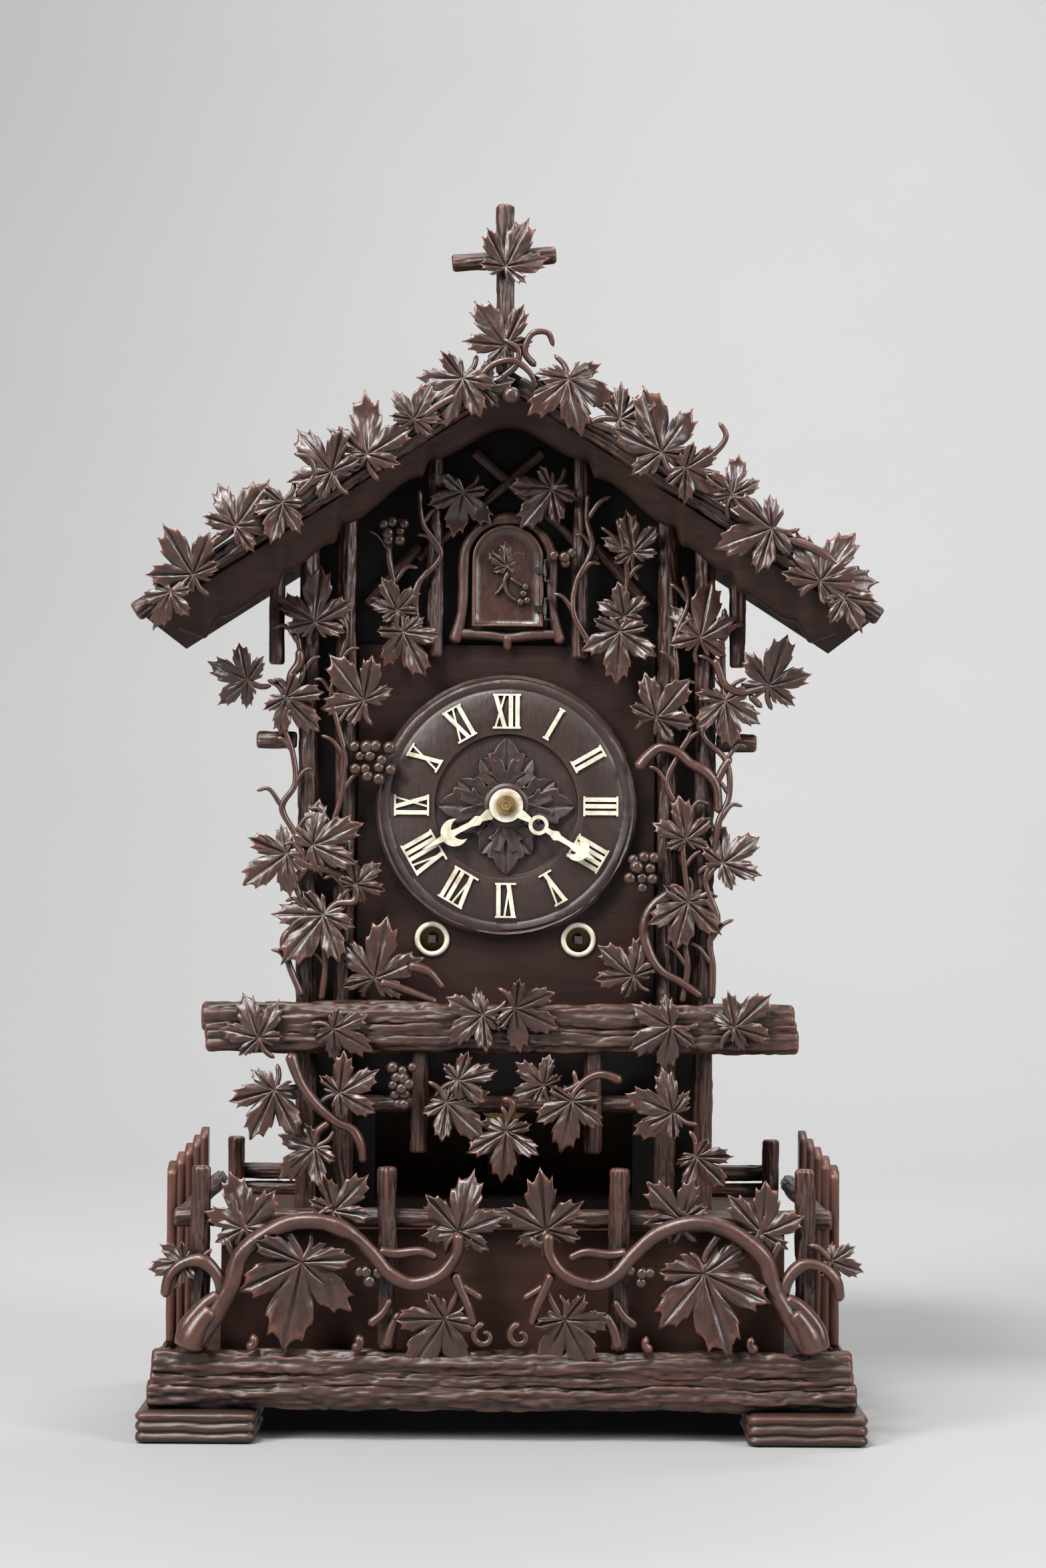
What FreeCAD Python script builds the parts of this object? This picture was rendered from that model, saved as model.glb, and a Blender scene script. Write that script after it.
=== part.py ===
"""Carved mantel cuckoo clock, in millimetres.

+X is the clock's right as seen from the front, +Y runs to the back, +Z is up.
The origin is on the ground, under the middle of the base.
"""
import FreeCAD
import Part
import math
import os

V = FreeCAD.Vector

# overall sizes
TOTAL_H = 560.0
FOOT_X, FOOT_Y = 163.5, 105.0
PLINTH_X = 159.0
PLINTH_Z0 = 14.0
BOX_X, BOX_Y0, BOX_Y1, BOX_TOP = 128.0, -78.0, 78.0, 92.0
CASE_X, WALL = 97.0, 7.0
BOARD_Y0, BOARD_Y1 = -46.0, -39.0
PANEL_Y = -53.0
BACK_Y0, BACK_Y1 = 67.0, 75.0

# roof
RIDGE_Z, ROOF_PITCH, ROOF_LEN, ROOF_T = 486.0, 32.9, 201.5, 8.0
ROOF_Y0, ROOF_Y1 = -87.0, 85.0
TAN = math.tan(math.radians(ROOF_PITCH))
UNDER_Z = RIDGE_Z - ROOF_T / math.cos(math.radians(ROOF_PITCH))

# dial, hands and winding holes
DIAL_Z, DIAL_R, DIAL_Y = 286.0, 61.0, -60.0
WIND_X, WIND_Z = 34.0, 224.0
HOUR_ANGLE, MINUTE_ANGLE = 242.0, 121.0

# cuckoo door
DOOR_W, DOOR_Z0, DOOR_H = 33.4, 369.3, 47.5
HINGE_X, HINGE_Y = 17.3, -60.6

# movement plates and arbors (x, z)
PLATE_X = 60.0
PLATE_Z0, PLATE_Z1 = 187.0, 366.0
FRONT_P0, FRONT_P1 = -37.0, -35.0
BACK_P0, BACK_P1 = 11.0, 13.0
CENTRE = (0.0, DIAL_Z)
TIME_GREAT = (WIND_X, WIND_Z)
STRIKE_GREAT = (-WIND_X, WIND_Z)
THIRD = (24.2 * math.cos(math.radians(120)), DIAL_Z + 24.2 * math.sin(math.radians(120)))
ESCAPE = (0.0, DIAL_Z + 48.4 * math.sin(math.radians(120)))
ANCHOR = (0.0, ESCAPE[1] + 22.6)
MOTION = (12.0, DIAL_Z)
PIN = (WIND_X * -1 - 36.0 * math.sin(math.radians(6)), WIND_Z + 36.0 * math.cos(math.radians(6)))
FLY = (PIN[0] + 22.0 * math.sin(math.radians(6)), PIN[1] + 22.0 * math.cos(math.radians(6)))
ARBOR_R, RUN = 1.3, 0.05
WIND_R = 2.55

# foliage: leaves are (x, z, direction of the middle lobe in degrees, reach)
ROOF_LEAVES = [
    (-142, 388, 125, 20), (-123, 410, 60, 21), (-80, 435, 135, 21), (-64, 443, 92, 23),
    (-21, 478, 240, 22), (-2, 493, 120, 19), (27, 478, 280, 23), (69, 445, 105, 26),
    (80, 438, -30, 17), (119, 411, 200, 24), (141, 387, 60, 25), (-152, 380, 250, 15), (-102, 421, 250, 15),
    (-43, 459, 70, 16), (-13, 474, 10, 13), (50, 460, 30, 16), (101, 426, 80, 15), (152, 380, 300, 14)]
FINIAL_LEAF = (-2, 530, 65, 23)
GABLE_LEAVES = [(-21, 431, 255, 20), (20, 433, 230, 21), (-51, 376, 110, 16),
                (-48, 366, 291, 20.5), (54, 374, 100, 15), (52, 367, 265, 22), (58, 404, 100, 18)]
COLUMN_LEFT = [(-89, 370, 88, 24), (-120, 343, 160, 20), (-102, 335, -45, 20), (-66, 334, 130, 23),
               (-101, 263, 215, 22), (-89, 267, 30, 23), (-84, 235, 235, 26), (-60, 206, 80, 26),
               (-69, 249, 45, 15)]
COLUMN_RIGHT = [(89, 364, 80, 24), (121, 342, 75, 23), (101, 335, 275, 22), (69, 327, 50, 22),
                (83, 271, 95, 18), (100, 260, 40, 21), (84, 242, 260, 23), (59, 208, 135, 21)]
LEDGE_LEAVES = [(-112, 179, 115, 20), (-78, 183, -35, 18), (-10, 190, 215, 20), (5, 193, -30, 22),
                (76, 185, 210, 23), (105, 185, 45, 19)]
SCREEN_LEFT = [(-105, 155, 245, 24), (-75, 154, 25, 20), (-86, 129, 220, 20), (-21, 160, 20, 17),
               (-26, 150, -45, 21)]
SCREEN_RIGHT = [(18, 158, 140, 16), (31, 151, 260, 21), (1, 137, 265, 21), (77, 146, 160, 22),
                (88, 126, -50, 18)]
FENCE_LEFT = [(-116, 95, 100, 23), (-76, 103, 45, 20), (-20, 94, 80, 25), (-90, 80, 258, 36),
              (-26, 59, 235, 21), (-143, 80, 200, 14)]
FENCE_RIGHT = [(116, 94, 80, 23), (80, 100, 135, 20), (19, 95, 100, 25), (90, 76, 282, 36),
               (28, 60, 300, 21), (147, 82, -20, 14)]

# foliage: each vine is (thick radius, thin radius, points along it in x and z)
FENCE_VINES = [
    (3.9, 2.2, [(-138, 44), (-130, 54), (-121, 70), (-117, 83), (-106, 93), (-93, 98), (-80, 98),
                (-68, 93), (-58, 84), (-50, 75), (-40, 71), (-28, 75), (-21, 84), (-20, 94)]),
    (2.6, 1.6, [(-124, 62), (-127, 73), (-134, 80), (-143, 79), (-149, 73), (-151, 64)]),
    (2.0, 1.4, [(-97, 94), (-91, 85), (-90, 80)]),
    (2.4, 1.8, [(-22, 76), (-18, 67), (-15, 60), (-13, 52)]),
    (1.8, 1.4, [(-19, 70), (-9, 64)]),
    (2.2, 1.6, [(-56, 85), (-48, 84), (-37, 85), (-29, 82)]),
    (1.8, 1.4, [(-26, 56), (-21, 65), (-20, 72)])]
COLUMN_LEFT_VINES = [
    (2.2, 1.8, [(-99, 261), (-90, 257), (-80, 255), (-73, 252), (-69, 247), (-70, 241), (-78, 240),
                (-84, 234)]),
    (2.2, 1.6, [(-96, 358), (-96, 351), (-100, 345), (-101, 337)]),
    (2.4, 1.6, [(-45, 212), (-35, 209), (-28, 201)]),
    (2.6, 1.8, [(-58, 204), (-50, 202), (-31, 195)])]
COLUMN_RIGHT_VINES = [
    (2.8, 2.2, [(60, 303), (65, 309), (71, 313), (79, 311), (85, 306), (92, 302), (97, 295),
                (98, 283)]),
    (2.0, 1.6, [(97, 297), (101, 305), (104, 309)]),
    (2.4, 1.6, [(96, 355), (98, 349), (101, 342), (108, 339), (114, 340), (121, 342)]),
    (1.8, 1.4, [(112, 338), (118, 332)]),
    (2.8, 2.0, [(80, 248), (68, 240), (64, 230), (66, 219), (72, 210), (81, 205), (91, 198)])]
SCREEN_LEFT_VINES = [
    (2.8, 2.0, [(-98, 172), (-93, 159), (-86, 149), (-77, 141), (-69, 137), (-65, 130), (-64, 122)]),
    (2.0, 1.6, [(-79, 141), (-85, 136), (-86, 129)])]
SCREEN_RIGHT_VINES = [
    (2.4, 1.6, [(54, 160), (45, 163), (38, 161), (32, 155), (31, 151)]),
    (1.8, 1.4, [(36, 160), (29, 156), (20, 155)]),
    (1.8, 1.4, [(-1, 152), (4, 149), (1, 139)])]
ROOF_VINE = [(-160, 384), (-142, 398), (-118, 412), (-96, 424), (-76, 436), (-54, 450), (-32, 464),
             (-10, 478)]
LEAF_T = 3.0


# ---------------------------------------------------------------- basic shapes
def box(x0, x1, y0, y1, z0, z1):
    return Part.makeBox(x1 - x0, y1 - y0, z1 - z0, V(x0, y0, z0))


def prism(points, y0, y1):
    """A polygon of (x, z) points extruded from y0 to y1."""
    corners = [V(x, y0, z) for x, z in points]
    face = Part.Face(Part.makePolygon(corners + [corners[0]]))
    return face.extrude(V(0, y1 - y0, 0))


def disc(cx, cz, radius, y0, y1):
    return Part.makeCylinder(radius, y1 - y0, V(cx, y0, cz), V(0, 1, 0))


def ring(cx, cz, outer, inner, y0, y1):
    return disc(cx, cz, outer, y0, y1).cut(disc(cx, cz, inner, y0 - 1, y1 + 1))


def log(start, end, radius, bevel=1.2):
    """A round log between two points, with bevelled ends."""
    a, b = V(*start), V(*end)
    axis = b - a
    length = axis.Length
    profile = [(0, 0), (radius - bevel, 0), (radius, bevel), (radius, length - bevel),
               (radius - bevel, length), (0, length)]
    points = [V(r, 0, h) for r, h in profile]
    face = Part.Face(Part.makePolygon(points + [points[0]]))
    solid = face.revolve(V(0, 0, 0), V(0, 0, 1), 360)
    turn = FreeCAD.Rotation(V(0, 0, 1), axis)
    solid.Placement = FreeCAD.Placement(a, turn)
    return solid


def fused(shapes):
    return shapes[0].multiFuse(shapes[1:]).removeSplitter()


NODES = {}


def save(node, pieces):
    """Add one shape, or a list of shapes, to a named sub-part."""
    if not isinstance(pieces, list):
        pieces = [pieces]
    for piece in pieces:
        NODES.setdefault(node, []).extend(piece.Solids)


def write_nodes():
    os.makedirs("parts", exist_ok=True)
    for node, solids in NODES.items():
        shape = solids[0] if len(solids) == 1 else Part.makeCompound(solids)
        shape.exportStep("parts/%s.step" % node)


# ---------------------------------------------------------------- foliage
def leaf_points(x, z, angle, reach):
    """Outline of a five-lobed vine leaf whose middle lobe points along the angle."""
    lobes = [(0, 1.0), (30, 0.44), (56, 0.86), (88, 0.40), (116, 0.64), (150, 0.30), (180, 0.12)]
    outline = lobes + [(-a, r) for a, r in reversed(lobes[1:-1])]
    points = []
    for turn, size in outline:
        t = math.radians(angle + turn)
        points.append((x + reach * size * math.cos(t), z + reach * size * math.sin(t)))
    return points


def leaf(place, y_back):
    return prism(leaf_points(*place), y_back - LEAF_T, y_back)


def vine(thick, thin, points, y):
    """A tapering round branch through the points, as short cones with round joints."""
    pieces = []
    steps = len(points) - 1
    for i in range(steps):
        r0 = thick + (thin - thick) * i / steps
        r1 = thick + (thin - thick) * (i + 1) / steps
        a = V(points[i][0], y, points[i][1])
        b = V(points[i + 1][0], y, points[i + 1][1])
        pieces.append(Part.makeCone(r0, r1, (b - a).Length, a, b - a))
    return pieces


def grapes(x, z, y, columns, rows, size=3.1):
    """A hanging bunch of round berries in two staggered rows."""
    pieces = []
    for row in range(rows):
        count = max(1, columns - row % 2 - max(0, row - rows + 2))
        for i in range(count):
            px = x + (i - (count - 1) / 2.0) * size * 1.7
            pieces.append(Part.makeSphere(size, V(px, y, z - row * size * 1.6)))
    return pieces


def foliage(leaves, vines, y_back):
    pieces = [leaf(place, y_back) for place in leaves]
    for thick, thin, points in vines:
        pieces.extend(vine(thick, thin, points, y_back - thick - 0.05))
    return pieces


def flip(points):
    return [(-x, z) for x, z in points]


# ---------------------------------------------------------------- base and fence
def make_base():
    feet = []
    for sx in (-1, 1):
        for sy in (-1, 1):
            x0, x1 = sorted((sx * (FOOT_X - 54), sx * FOOT_X))
            y0, y1 = sorted((sy * (FOOT_Y - 50), sy * FOOT_Y))
            block = box(x0, x1, y0, y1, 0, PLINTH_Z0)
            feet.append(block.makeFillet(5.0, [e for e in block.Edges if lies_along(e, "x")]))
    save("feet", feet)
    save("base_box", box(-150, 150, -87.9, 87.9, PLINTH_Z0, 36))
    logs = []
    for z in (20.5, 33.5):
        reach = PLINTH_X if z < 30 else PLINTH_X - 2
        logs.append(log((-reach, -94, z), (reach, -94, z), 6.0))
        logs.append(log((-reach, 94, z), (reach, 94, z), 6.0))
        for x in (-1, 1):
            logs.append(log((x * 154, -87.9, z), (x * 154, 87.9, z), 3.9))
    save("plinth_logs", logs)


def lies_along(edge, axis):
    a, b = edge.Vertexes[0].Point, edge.Vertexes[-1].Point
    return abs(getattr(a, axis) - getattr(b, axis)) > 1.0


def make_plinth_box():
    outer = box(-BOX_X, BOX_X, BOX_Y0, BOX_Y1, 36, BOX_TOP)
    save("base_box", outer.cut(box(-BOX_X + 8, BOX_X - 8, BOX_Y0 + 8, BOX_Y1 - 8, 35, BOX_TOP - 8)))


def make_fence():
    posts = [log((x, -92.2, 40.2), (x, -92.2, 122), 4.75) for x in (-136, -52, 52, 136)]
    save("fence_posts", posts)
    save("fence_rails", log((-149, -82.7, 98), (149, -82.7, 98), 4.6))
    for name, side in (("left", -1), ("right", 1)):
        pickets = []
        for y in (-62, -26, 10, 46, 82):
            inner, outer = sorted((side * 150.2, side * 154.4))
            picket = box(inner, outer, y - 5, y + 5, 38.5, 121 + (y + 62) * 0.03)
            pickets.append(picket)
        save("fence_pickets", pickets)
        save("fence_rails", log((side * 145.6, -79, 98), (side * 145.6, 95, 98), 4.5))
    back = [log((-140.5, 92, z), (140.5, 92, z), 4.4) for z in (93.5, 103)]
    back += [log((x, 83, 36.2), (x, 83, 121), 4.4) for x in (-136, 136)]
    save("fence_rails", back)


# ---------------------------------------------------------------- case
def pentagon(half, z0, drop):
    top = UNDER_Z - drop
    return [(-half, z0), (half, z0), (half, top - half * TAN), (0, top), (-half, top - half * TAN)]


def door_outline(width, z0, height):
    """Upright with a half-round top."""
    radius = width / 2.0
    points = [(-radius, z0), (radius, z0)]
    for i in range(25):
        t = math.pi * i / 24.0
        points.append((radius * math.cos(t), z0 + height - radius + radius * math.sin(t)))
    return points


def winding_holes(radius, y0, y1):
    return fused([disc(x, WIND_Z, radius, y0, y1) for x in (-WIND_X, WIND_X)])


def make_case():
    front = prism(pentagon(CASE_X, BOX_TOP, 0.2), BOARD_Y0, BOARD_Y1)
    front = front.cut(prism(door_outline(30.0, DOOR_Z0 + 2, DOOR_H - 4), BOARD_Y0 - 1, BOARD_Y1 + 1))
    front = front.cut(box(-60, 60, BOARD_Y0 - 1, BOARD_Y1 + 1, 103, 144))
    front = front.cut(disc(0, DIAL_Z, 4.5, BOARD_Y0 - 1, BOARD_Y1 + 1))
    front = front.cut(winding_holes(6.5, BOARD_Y0 - 1, BOARD_Y1 + 1))
    front = front.cut(disc(6, DIAL_Z, 24, BOARD_Y0 + 0.8, BOARD_Y1 + 1))
    save("front_board", front)
    panel = box(-69, 69, PANEL_Y, BOARD_Y0, 193, 361)
    panel = panel.cut(disc(0, DIAL_Z, 4.5, PANEL_Y - 1, BOARD_Y0 + 1))
    save("front_board", panel.cut(winding_holes(5.9, PANEL_Y - 1, BOARD_Y0 + 1)))
    side_top = UNDER_Z - CASE_X * TAN - 0.4
    save("case_sides", box(-CASE_X, -CASE_X + WALL, BOARD_Y1, BACK_Y0, BOX_TOP, side_top))
    save("case_sides", box(CASE_X - WALL, CASE_X, BOARD_Y1, BACK_Y0, BOX_TOP, side_top))
    save("case_shelves", box(-CASE_X + WALL, CASE_X - WALL, BOARD_Y1, BACK_Y0, BOX_TOP, BOX_TOP + 7))
    save("case_shelves", box(-CASE_X + WALL, CASE_X - WALL, -38.5, 14.5, 179, PLATE_Z0).cut(
        box(-70, 70, 14, 15, 178, 188)))
    frame = prism(pentagon(CASE_X, BOX_TOP, 0.2), BACK_Y0, BACK_Y1)
    save("back_frame", frame.cut(box(-66, 66, BACK_Y0 - 1, BACK_Y1 + 1, 150, 395)))


def make_back_door():
    door = box(-65.4, 65.4, BACK_Y0, BACK_Y1 - 0.2, 150.6, 394.4)
    door = door.cut(prism(door_outline(40, 330, 30), BACK_Y0 - 1, BACK_Y1 + 1))
    knuckles = []
    hinge = []
    for z in (190.0, 350.0):
        axis = V(-66.0, BACK_Y1 + 2.6, z)
        knuckles.append(Part.makeCylinder(2.2, 11, axis, V(0, 0, 1)).cut(
            Part.makeCylinder(1.05, 11, axis, V(0, 0, 1))))
        knuckles.append(box(-64.2, -52, BACK_Y1 - 0.2, BACK_Y1 + 1.0, z, z + 11))
        low = V(-66.0, BACK_Y1 + 2.6, z - 11.3)
        hinge.append(Part.makeCylinder(2.2, 11, low, V(0, 0, 1)).cut(
            Part.makeCylinder(1.0, 11, low, V(0, 0, 1))))
        hinge.append(Part.makeCylinder(1.0, 22.3, low, V(0, 0, 1)))
        hinge.append(box(-80, -67.8, BACK_Y1, BACK_Y1 + 1.2, z - 11.3, z - 0.3))
    save("back_door", door)
    save("back_hinge_leaves", knuckles)
    save("back_hardware", hinge)
    stud = V(74.0, BACK_Y1 + 3.3, 272)
    post = Part.makeCylinder(1.5, 6.5, V(74.0, BACK_Y1, 272), V(0, 1, 0))
    save("back_hardware", fused([post, Part.makeCylinder(3.2, 1.5, V(74, BACK_Y1 + 5, 272), V(0, 1, 0))]))
    button = box(69, 79, BACK_Y1 + 0.4, BACK_Y1 + 4.6, 259.5, 284.5)
    save("latch_button", button.cut(Part.makeCylinder(1.55, 12, stud - V(0, 6, 0), V(0, 1, 0))))


# ---------------------------------------------------------------- front logs
def make_front_logs():
    columns = []
    for x in (-92, -74.8, 74.8, 92):
        top = UNDER_Z - (abs(x) + 5) * TAN - 1.5
        columns.append(log((x, -58, BOX_TOP + 0.3), (x, -58, top), 5.0))
    save("column_logs", columns)
    ledge = [log((-139, -68.6, 188.4), (133, -68.6, 188.4), 5.2),
             log((-137, -68.6, 178.2), (135, -68.6, 178.2), 4.9)]
    save("ledge_logs", ledge)
    braces = []
    for s in (-1, 1):
        braces.append(log((s * 97.4, -58, 316), (s * 116, -58, 316), 4.2))
        braces.append(log((s * 107, -58, 351), (s * 107, -58, UNDER_Z - 111 * TAN - 1.5), 4.0))
    save("screen_logs", braces)
    screen = [log((x, -64.5, 126), (x, -64.5, 173.4), 4.2) for x in (-39, 41)]
    screen.append(log((-69.5, -56.0, 148), (69.5, -56.0, 148), 4.2))
    save("screen_logs", screen)


def make_truss():
    pieces = []
    for s in (-1, 1):
        top = UNDER_Z - 38 * TAN - 1.2
        pieces.append(log((s * 33.8, -57.2, 355), (s * 33.8, -57.2, top), 4.0))
        pieces.append(log((s * 42, -52, 401), (s * -16, -52, 452), 2.9))
        pieces.append(log((s * 66, -52, 380), (s * 41, -52, 408), 2.9))
    save("screen_logs", pieces)


# ---------------------------------------------------------------- roof
def roof_side(side):
    ux, uz = math.cos(math.radians(ROOF_PITCH)), -math.sin(math.radians(ROOF_PITCH))
    ex, ez = ROOF_LEN * ux, RIDGE_Z + ROOF_LEN * uz
    points = [(0, RIDGE_Z), (ex, ez), (ex + ROOF_T * uz, ez - ROOF_T * ux), (0, UNDER_Z)]
    return prism([(side * x, z) for x, z in points], ROOF_Y0, ROOF_Y1)


def scalloped_fascia():
    """Board under the roof's front edge, its lower edge cut in shallow arches."""
    outline = [(0, UNDER_Z - 1.4), (152, UNDER_Z - 1.4 - 152 * TAN)]
    lower = [(139, 361), (131, 371), (106, 384), (102, 392), (80, 405), (76, 414), (40, 436),
             (36, 444), (0, 459)]
    half = outline + lower
    full = half + [(-x, z) for x, z in reversed(half[1:-1])]
    return prism(full, -91, -77)


def make_roof():
    save("roof_panels", roof_side(-1))
    save("roof_panels", roof_side(1))
    save("gable_board", scalloped_fascia())
    logs = []
    for s in (-1, 1):
        for drop in (4.8,):
            x0, z0 = 4.0, RIDGE_Z - drop - 4.0 * TAN
            x1 = 171.0 - drop * 0.4
            logs.append(log((s * x0, -92.2, z0 - 1), (s * x1, -92.2, RIDGE_Z - drop - x1 * TAN), 4.8))
    save("roof_edge_logs", logs)
    save("finial_cross", fused([
        log((-2, -88, 487.6), (-2, -88, TOTAL_H), 4.4),
        log((-26.5, -88, 533), (21, -88, 537.5), 4.1)]))
    save("roof_foliage", leaf(FINIAL_LEAF, -92.6))
    left = [leaf(p, -97.3) for p in ROOF_LEAVES if p[0] < -10]
    right = [leaf(p, -97.3) for p in ROOF_LEAVES if p[0] > -10]
    left += vine(2.4, 1.8, ROOF_VINE, -99.9)
    right += vine(2.4, 1.8, flip(ROOF_VINE), -99.9)
    right.append(Part.makeSphere(4.2, V(1, -101.6, 470)))
    save("roof_foliage", left)
    save("roof_foliage", right)


# ---------------------------------------------------------------- carved foliage groups
def make_foliage():
    save("column_foliage", foliage(COLUMN_LEFT, COLUMN_LEFT_VINES, -63.3)
         + grapes(-62, 312, -66.8, 4, 4))
    save("column_foliage", foliage(COLUMN_RIGHT, COLUMN_RIGHT_VINES, -63.3)
         + grapes(63, 262, -66.8, 3, 4))
    save("gable_foliage", foliage(GABLE_LEAVES, [], -61.4) + grapes(26, 402, -65.0, 3, 2, 2.6)
         + grapes(-53, 416, -65.0, 3, 3, 2.6))
    save("ledge_foliage", foliage(LEDGE_LEAVES, [], -74.0))
    save("ledge_foliage", foliage(SCREEN_LEFT, SCREEN_LEFT_VINES, -74.0)
         + grapes(-47, 165, -77.4, 3, 5, 2.6))
    save("ledge_foliage", foliage(SCREEN_RIGHT, SCREEN_RIGHT_VINES, -74.0))
    mirror_vines = [(a, b, flip(points)) for a, b, points in FENCE_VINES]
    save("fence_foliage", foliage(FENCE_LEFT, FENCE_VINES[:1], -97.0)
         + small_vines(FENCE_VINES[1:]) + grapes(-60, 76, -100.2, 3, 2, 2.9) + tendril(-1))
    save("fence_foliage", foliage(FENCE_RIGHT, mirror_vines[:1], -97.0)
         + small_vines(mirror_vines[1:]) + grapes(62, 77, -100.2, 3, 2, 2.9) + tendril(1))


def small_vines(vines):
    pieces = []
    for thick, thin, points in vines:
        pieces.extend(vine(thick, thin, points, -97.2 - thick))
    return pieces


def tendril(side):
    """Curled tendril: a small ring standing near the middle of the fence."""
    return [Part.makeTorus(5.2, 1.7, V(side * 8, -99.2, 47.5), V(0, 1, 0))]


# ---------------------------------------------------------------- cuckoo door
def make_cuckoo_door():
    half = [(23, 364), (27, 362), (25, 371), (23, 380), (23.5, 398)]
    arch = [(23.5 * math.cos(t * math.pi / 16), 399 + 22 * math.sin(t * math.pi / 16))
            for t in range(1, 16)]
    outline = half + arch + [(-x, z) for x, z in reversed(half)]
    outline += [(-4, 364), (0, 361.3), (4, 364)]
    surround = prism(outline, -59.6, BOARD_Y0)
    surround = surround.cut(prism(door_outline(DOOR_W + 1.2, DOOR_Z0 - 0.6, DOOR_H + 1.2), -62, -53.0))
    surround = surround.cut(prism(door_outline(30.0, DOOR_Z0 + 2, DOOR_H - 4), -54, -45))
    save("door_surround", surround)
    panel = prism(door_outline(DOOR_W, DOOR_Z0, DOOR_H), -60.2, -56.8)
    knuckle_cut = [Part.makeCylinder(1.35, 5.4, V(HINGE_X, HINGE_Y, z), V(0, 0, 1)) for z in (374.8, 392.8)]
    save("cuckoo_door", panel.cut(knuckle_cut[0]).cut(knuckle_cut[1]))
    loops = []
    pins = []
    for z in (375.0, 393.0):
        eye = Part.makeCylinder(0.95, 5, V(HINGE_X, HINGE_Y, z), V(0, 0, 1))
        bore = Part.makeCylinder(0.5, 5, V(HINGE_X, HINGE_Y, z), V(0, 0, 1))
        tail = box(HINGE_X - 5, HINGE_X, HINGE_Y - 0.4, HINGE_Y + 0.2, z + 1, z + 4)
        loops.append(fused([eye, tail]).cut(bore))
        pins.append(Part.makeCylinder(0.45, 9, V(HINGE_X, HINGE_Y, z - 2), V(0, 0, 1)))
        pins.append(box(HINGE_X - 0.4, HINGE_X + 3.4, HINGE_Y - 0.4, HINGE_Y + 0.4, z - 2.8, z - 2.0))
        pins.append(box(HINGE_X - 0.4, HINGE_X + 3.4, HINGE_Y - 0.4, HINGE_Y + 0.4, z + 7.0, z + 7.8))
    save("door_loops", loops)
    save("door_pins", pins)
    carving = [leaf((0, 398, 100, 11), -60.2)]
    carving += [Part.makeSphere(1.7, V(x, -60.9, z)) for x, z in ((7.5, 384), (9.5, 381), (6, 380))]
    carving += vine(0.9, 0.6, [(0, 396), (-1.5, 388), (2, 380)], -61.1)
    save("cuckoo_door", carving)


# ---------------------------------------------------------------- dial and hands
def make_dial():
    base = disc(0, DIAL_Z, DIAL_R, DIAL_Y, PANEL_Y).cut(disc(0, DIAL_Z, 33.5, DIAL_Y - 1, DIAL_Y + 2))
    save("dial_ring", base.cut(disc(0, DIAL_Z, 4.5, DIAL_Y - 1, PANEL_Y + 1)))
    petals = []
    for k in range(4):
        turn = math.radians(90 * k + 90)
        place = (10 * math.cos(turn), DIAL_Z + 10 * math.sin(turn), math.degrees(turn), 21)
        petals.append(prism(leaf_points(*place), DIAL_Y + 0.4, DIAL_Y + 2))
    boss = ring(0, DIAL_Z, 11, 4.5, DIAL_Y - 0.6, DIAL_Y + 2)
    save("dial_rosette", fused(petals + [boss]).cut(disc(0, DIAL_Z, 4.5, -70, -50)))
    bezels = []
    for x in (-WIND_X, WIND_X):
        bezels.append(ring(x, WIND_Z, 8.3, 5.7, PANEL_Y - 1.6, PANEL_Y))
    save("winding_bezels", bezels)
    make_numerals()


STROKES = {"I": [[(0, 0), (0, 1)]],
           "V": [[(-0.5, 1), (0.06, 0)], [(0.5, 1), (-0.06, 0)]],
           "X": [[(-0.5, 1), (0.5, 0)], [(0.5, 1), (-0.5, 0)]]}
ADVANCE = {"I": 3.1, "V": 6.6, "X": 6.8}
NUMERALS = ["XII", "I", "II", "III", "IIII", "V", "VI", "VII", "VIII", "IX", "X", "XI"]


def numeral_pieces(text):
    """Strokes with thin bars at head and foot, feet at height 0, centred on x = 0."""
    width = sum(ADVANCE[c] for c in text)
    x = -width / 2.0
    bars = [[(-width / 2, -0.45), (width / 2, -0.45), (width / 2, 0.45), (-width / 2, 0.45)],
            [(-width / 2, 14.85), (width / 2, 14.85), (width / 2, 15.75), (-width / 2, 15.75)]]
    for c in text:
        step = ADVANCE[c]
        for i, line in enumerate(STROKES[c]):
            thick = 2.0 if i == 0 else 0.9
            (ax, az), (bx, bz) = line
            cx, wide = x + step / 2.0, step - 2.4
            a, b = (cx + ax * wide, az * 15.3), (cx + bx * wide, bz * 15.3)
            h = thick / 2.0
            bars.append([(a[0] - h, a[1]), (a[0] + h, a[1]), (b[0] + h, b[1]), (b[0] - h, b[1])])
        x += step
    return bars


def make_numerals():
    shapes = []
    for i, text in enumerate(NUMERALS):
        turn = math.radians(-30 * i)
        parts = []
        for bar in numeral_pieces(text):
            points = []
            for px, pz in bar:
                r = pz + 36.2
                points.append((px * math.cos(turn) - r * math.sin(turn),
                               DIAL_Z + px * math.sin(turn) + r * math.cos(turn)))
            parts.append(prism(points, DIAL_Y - 0.9, DIAL_Y))
        shapes.append(fused(parts))
    save("numerals", shapes)


def clock_point(angle, along, across):
    """Point at a distance along and across a hand that stands at a clock angle."""
    t = math.radians(angle)
    return (along * math.sin(t) + across * math.cos(t),
            DIAL_Z + along * math.cos(t) - across * math.sin(t))


def hand_piece(angle, half, y0, y1):
    both = half + [(a, -w) for a, w in reversed(half) if w > 0.001]
    return prism([clock_point(angle, a, w) for a, w in both], y0, y1)


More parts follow.
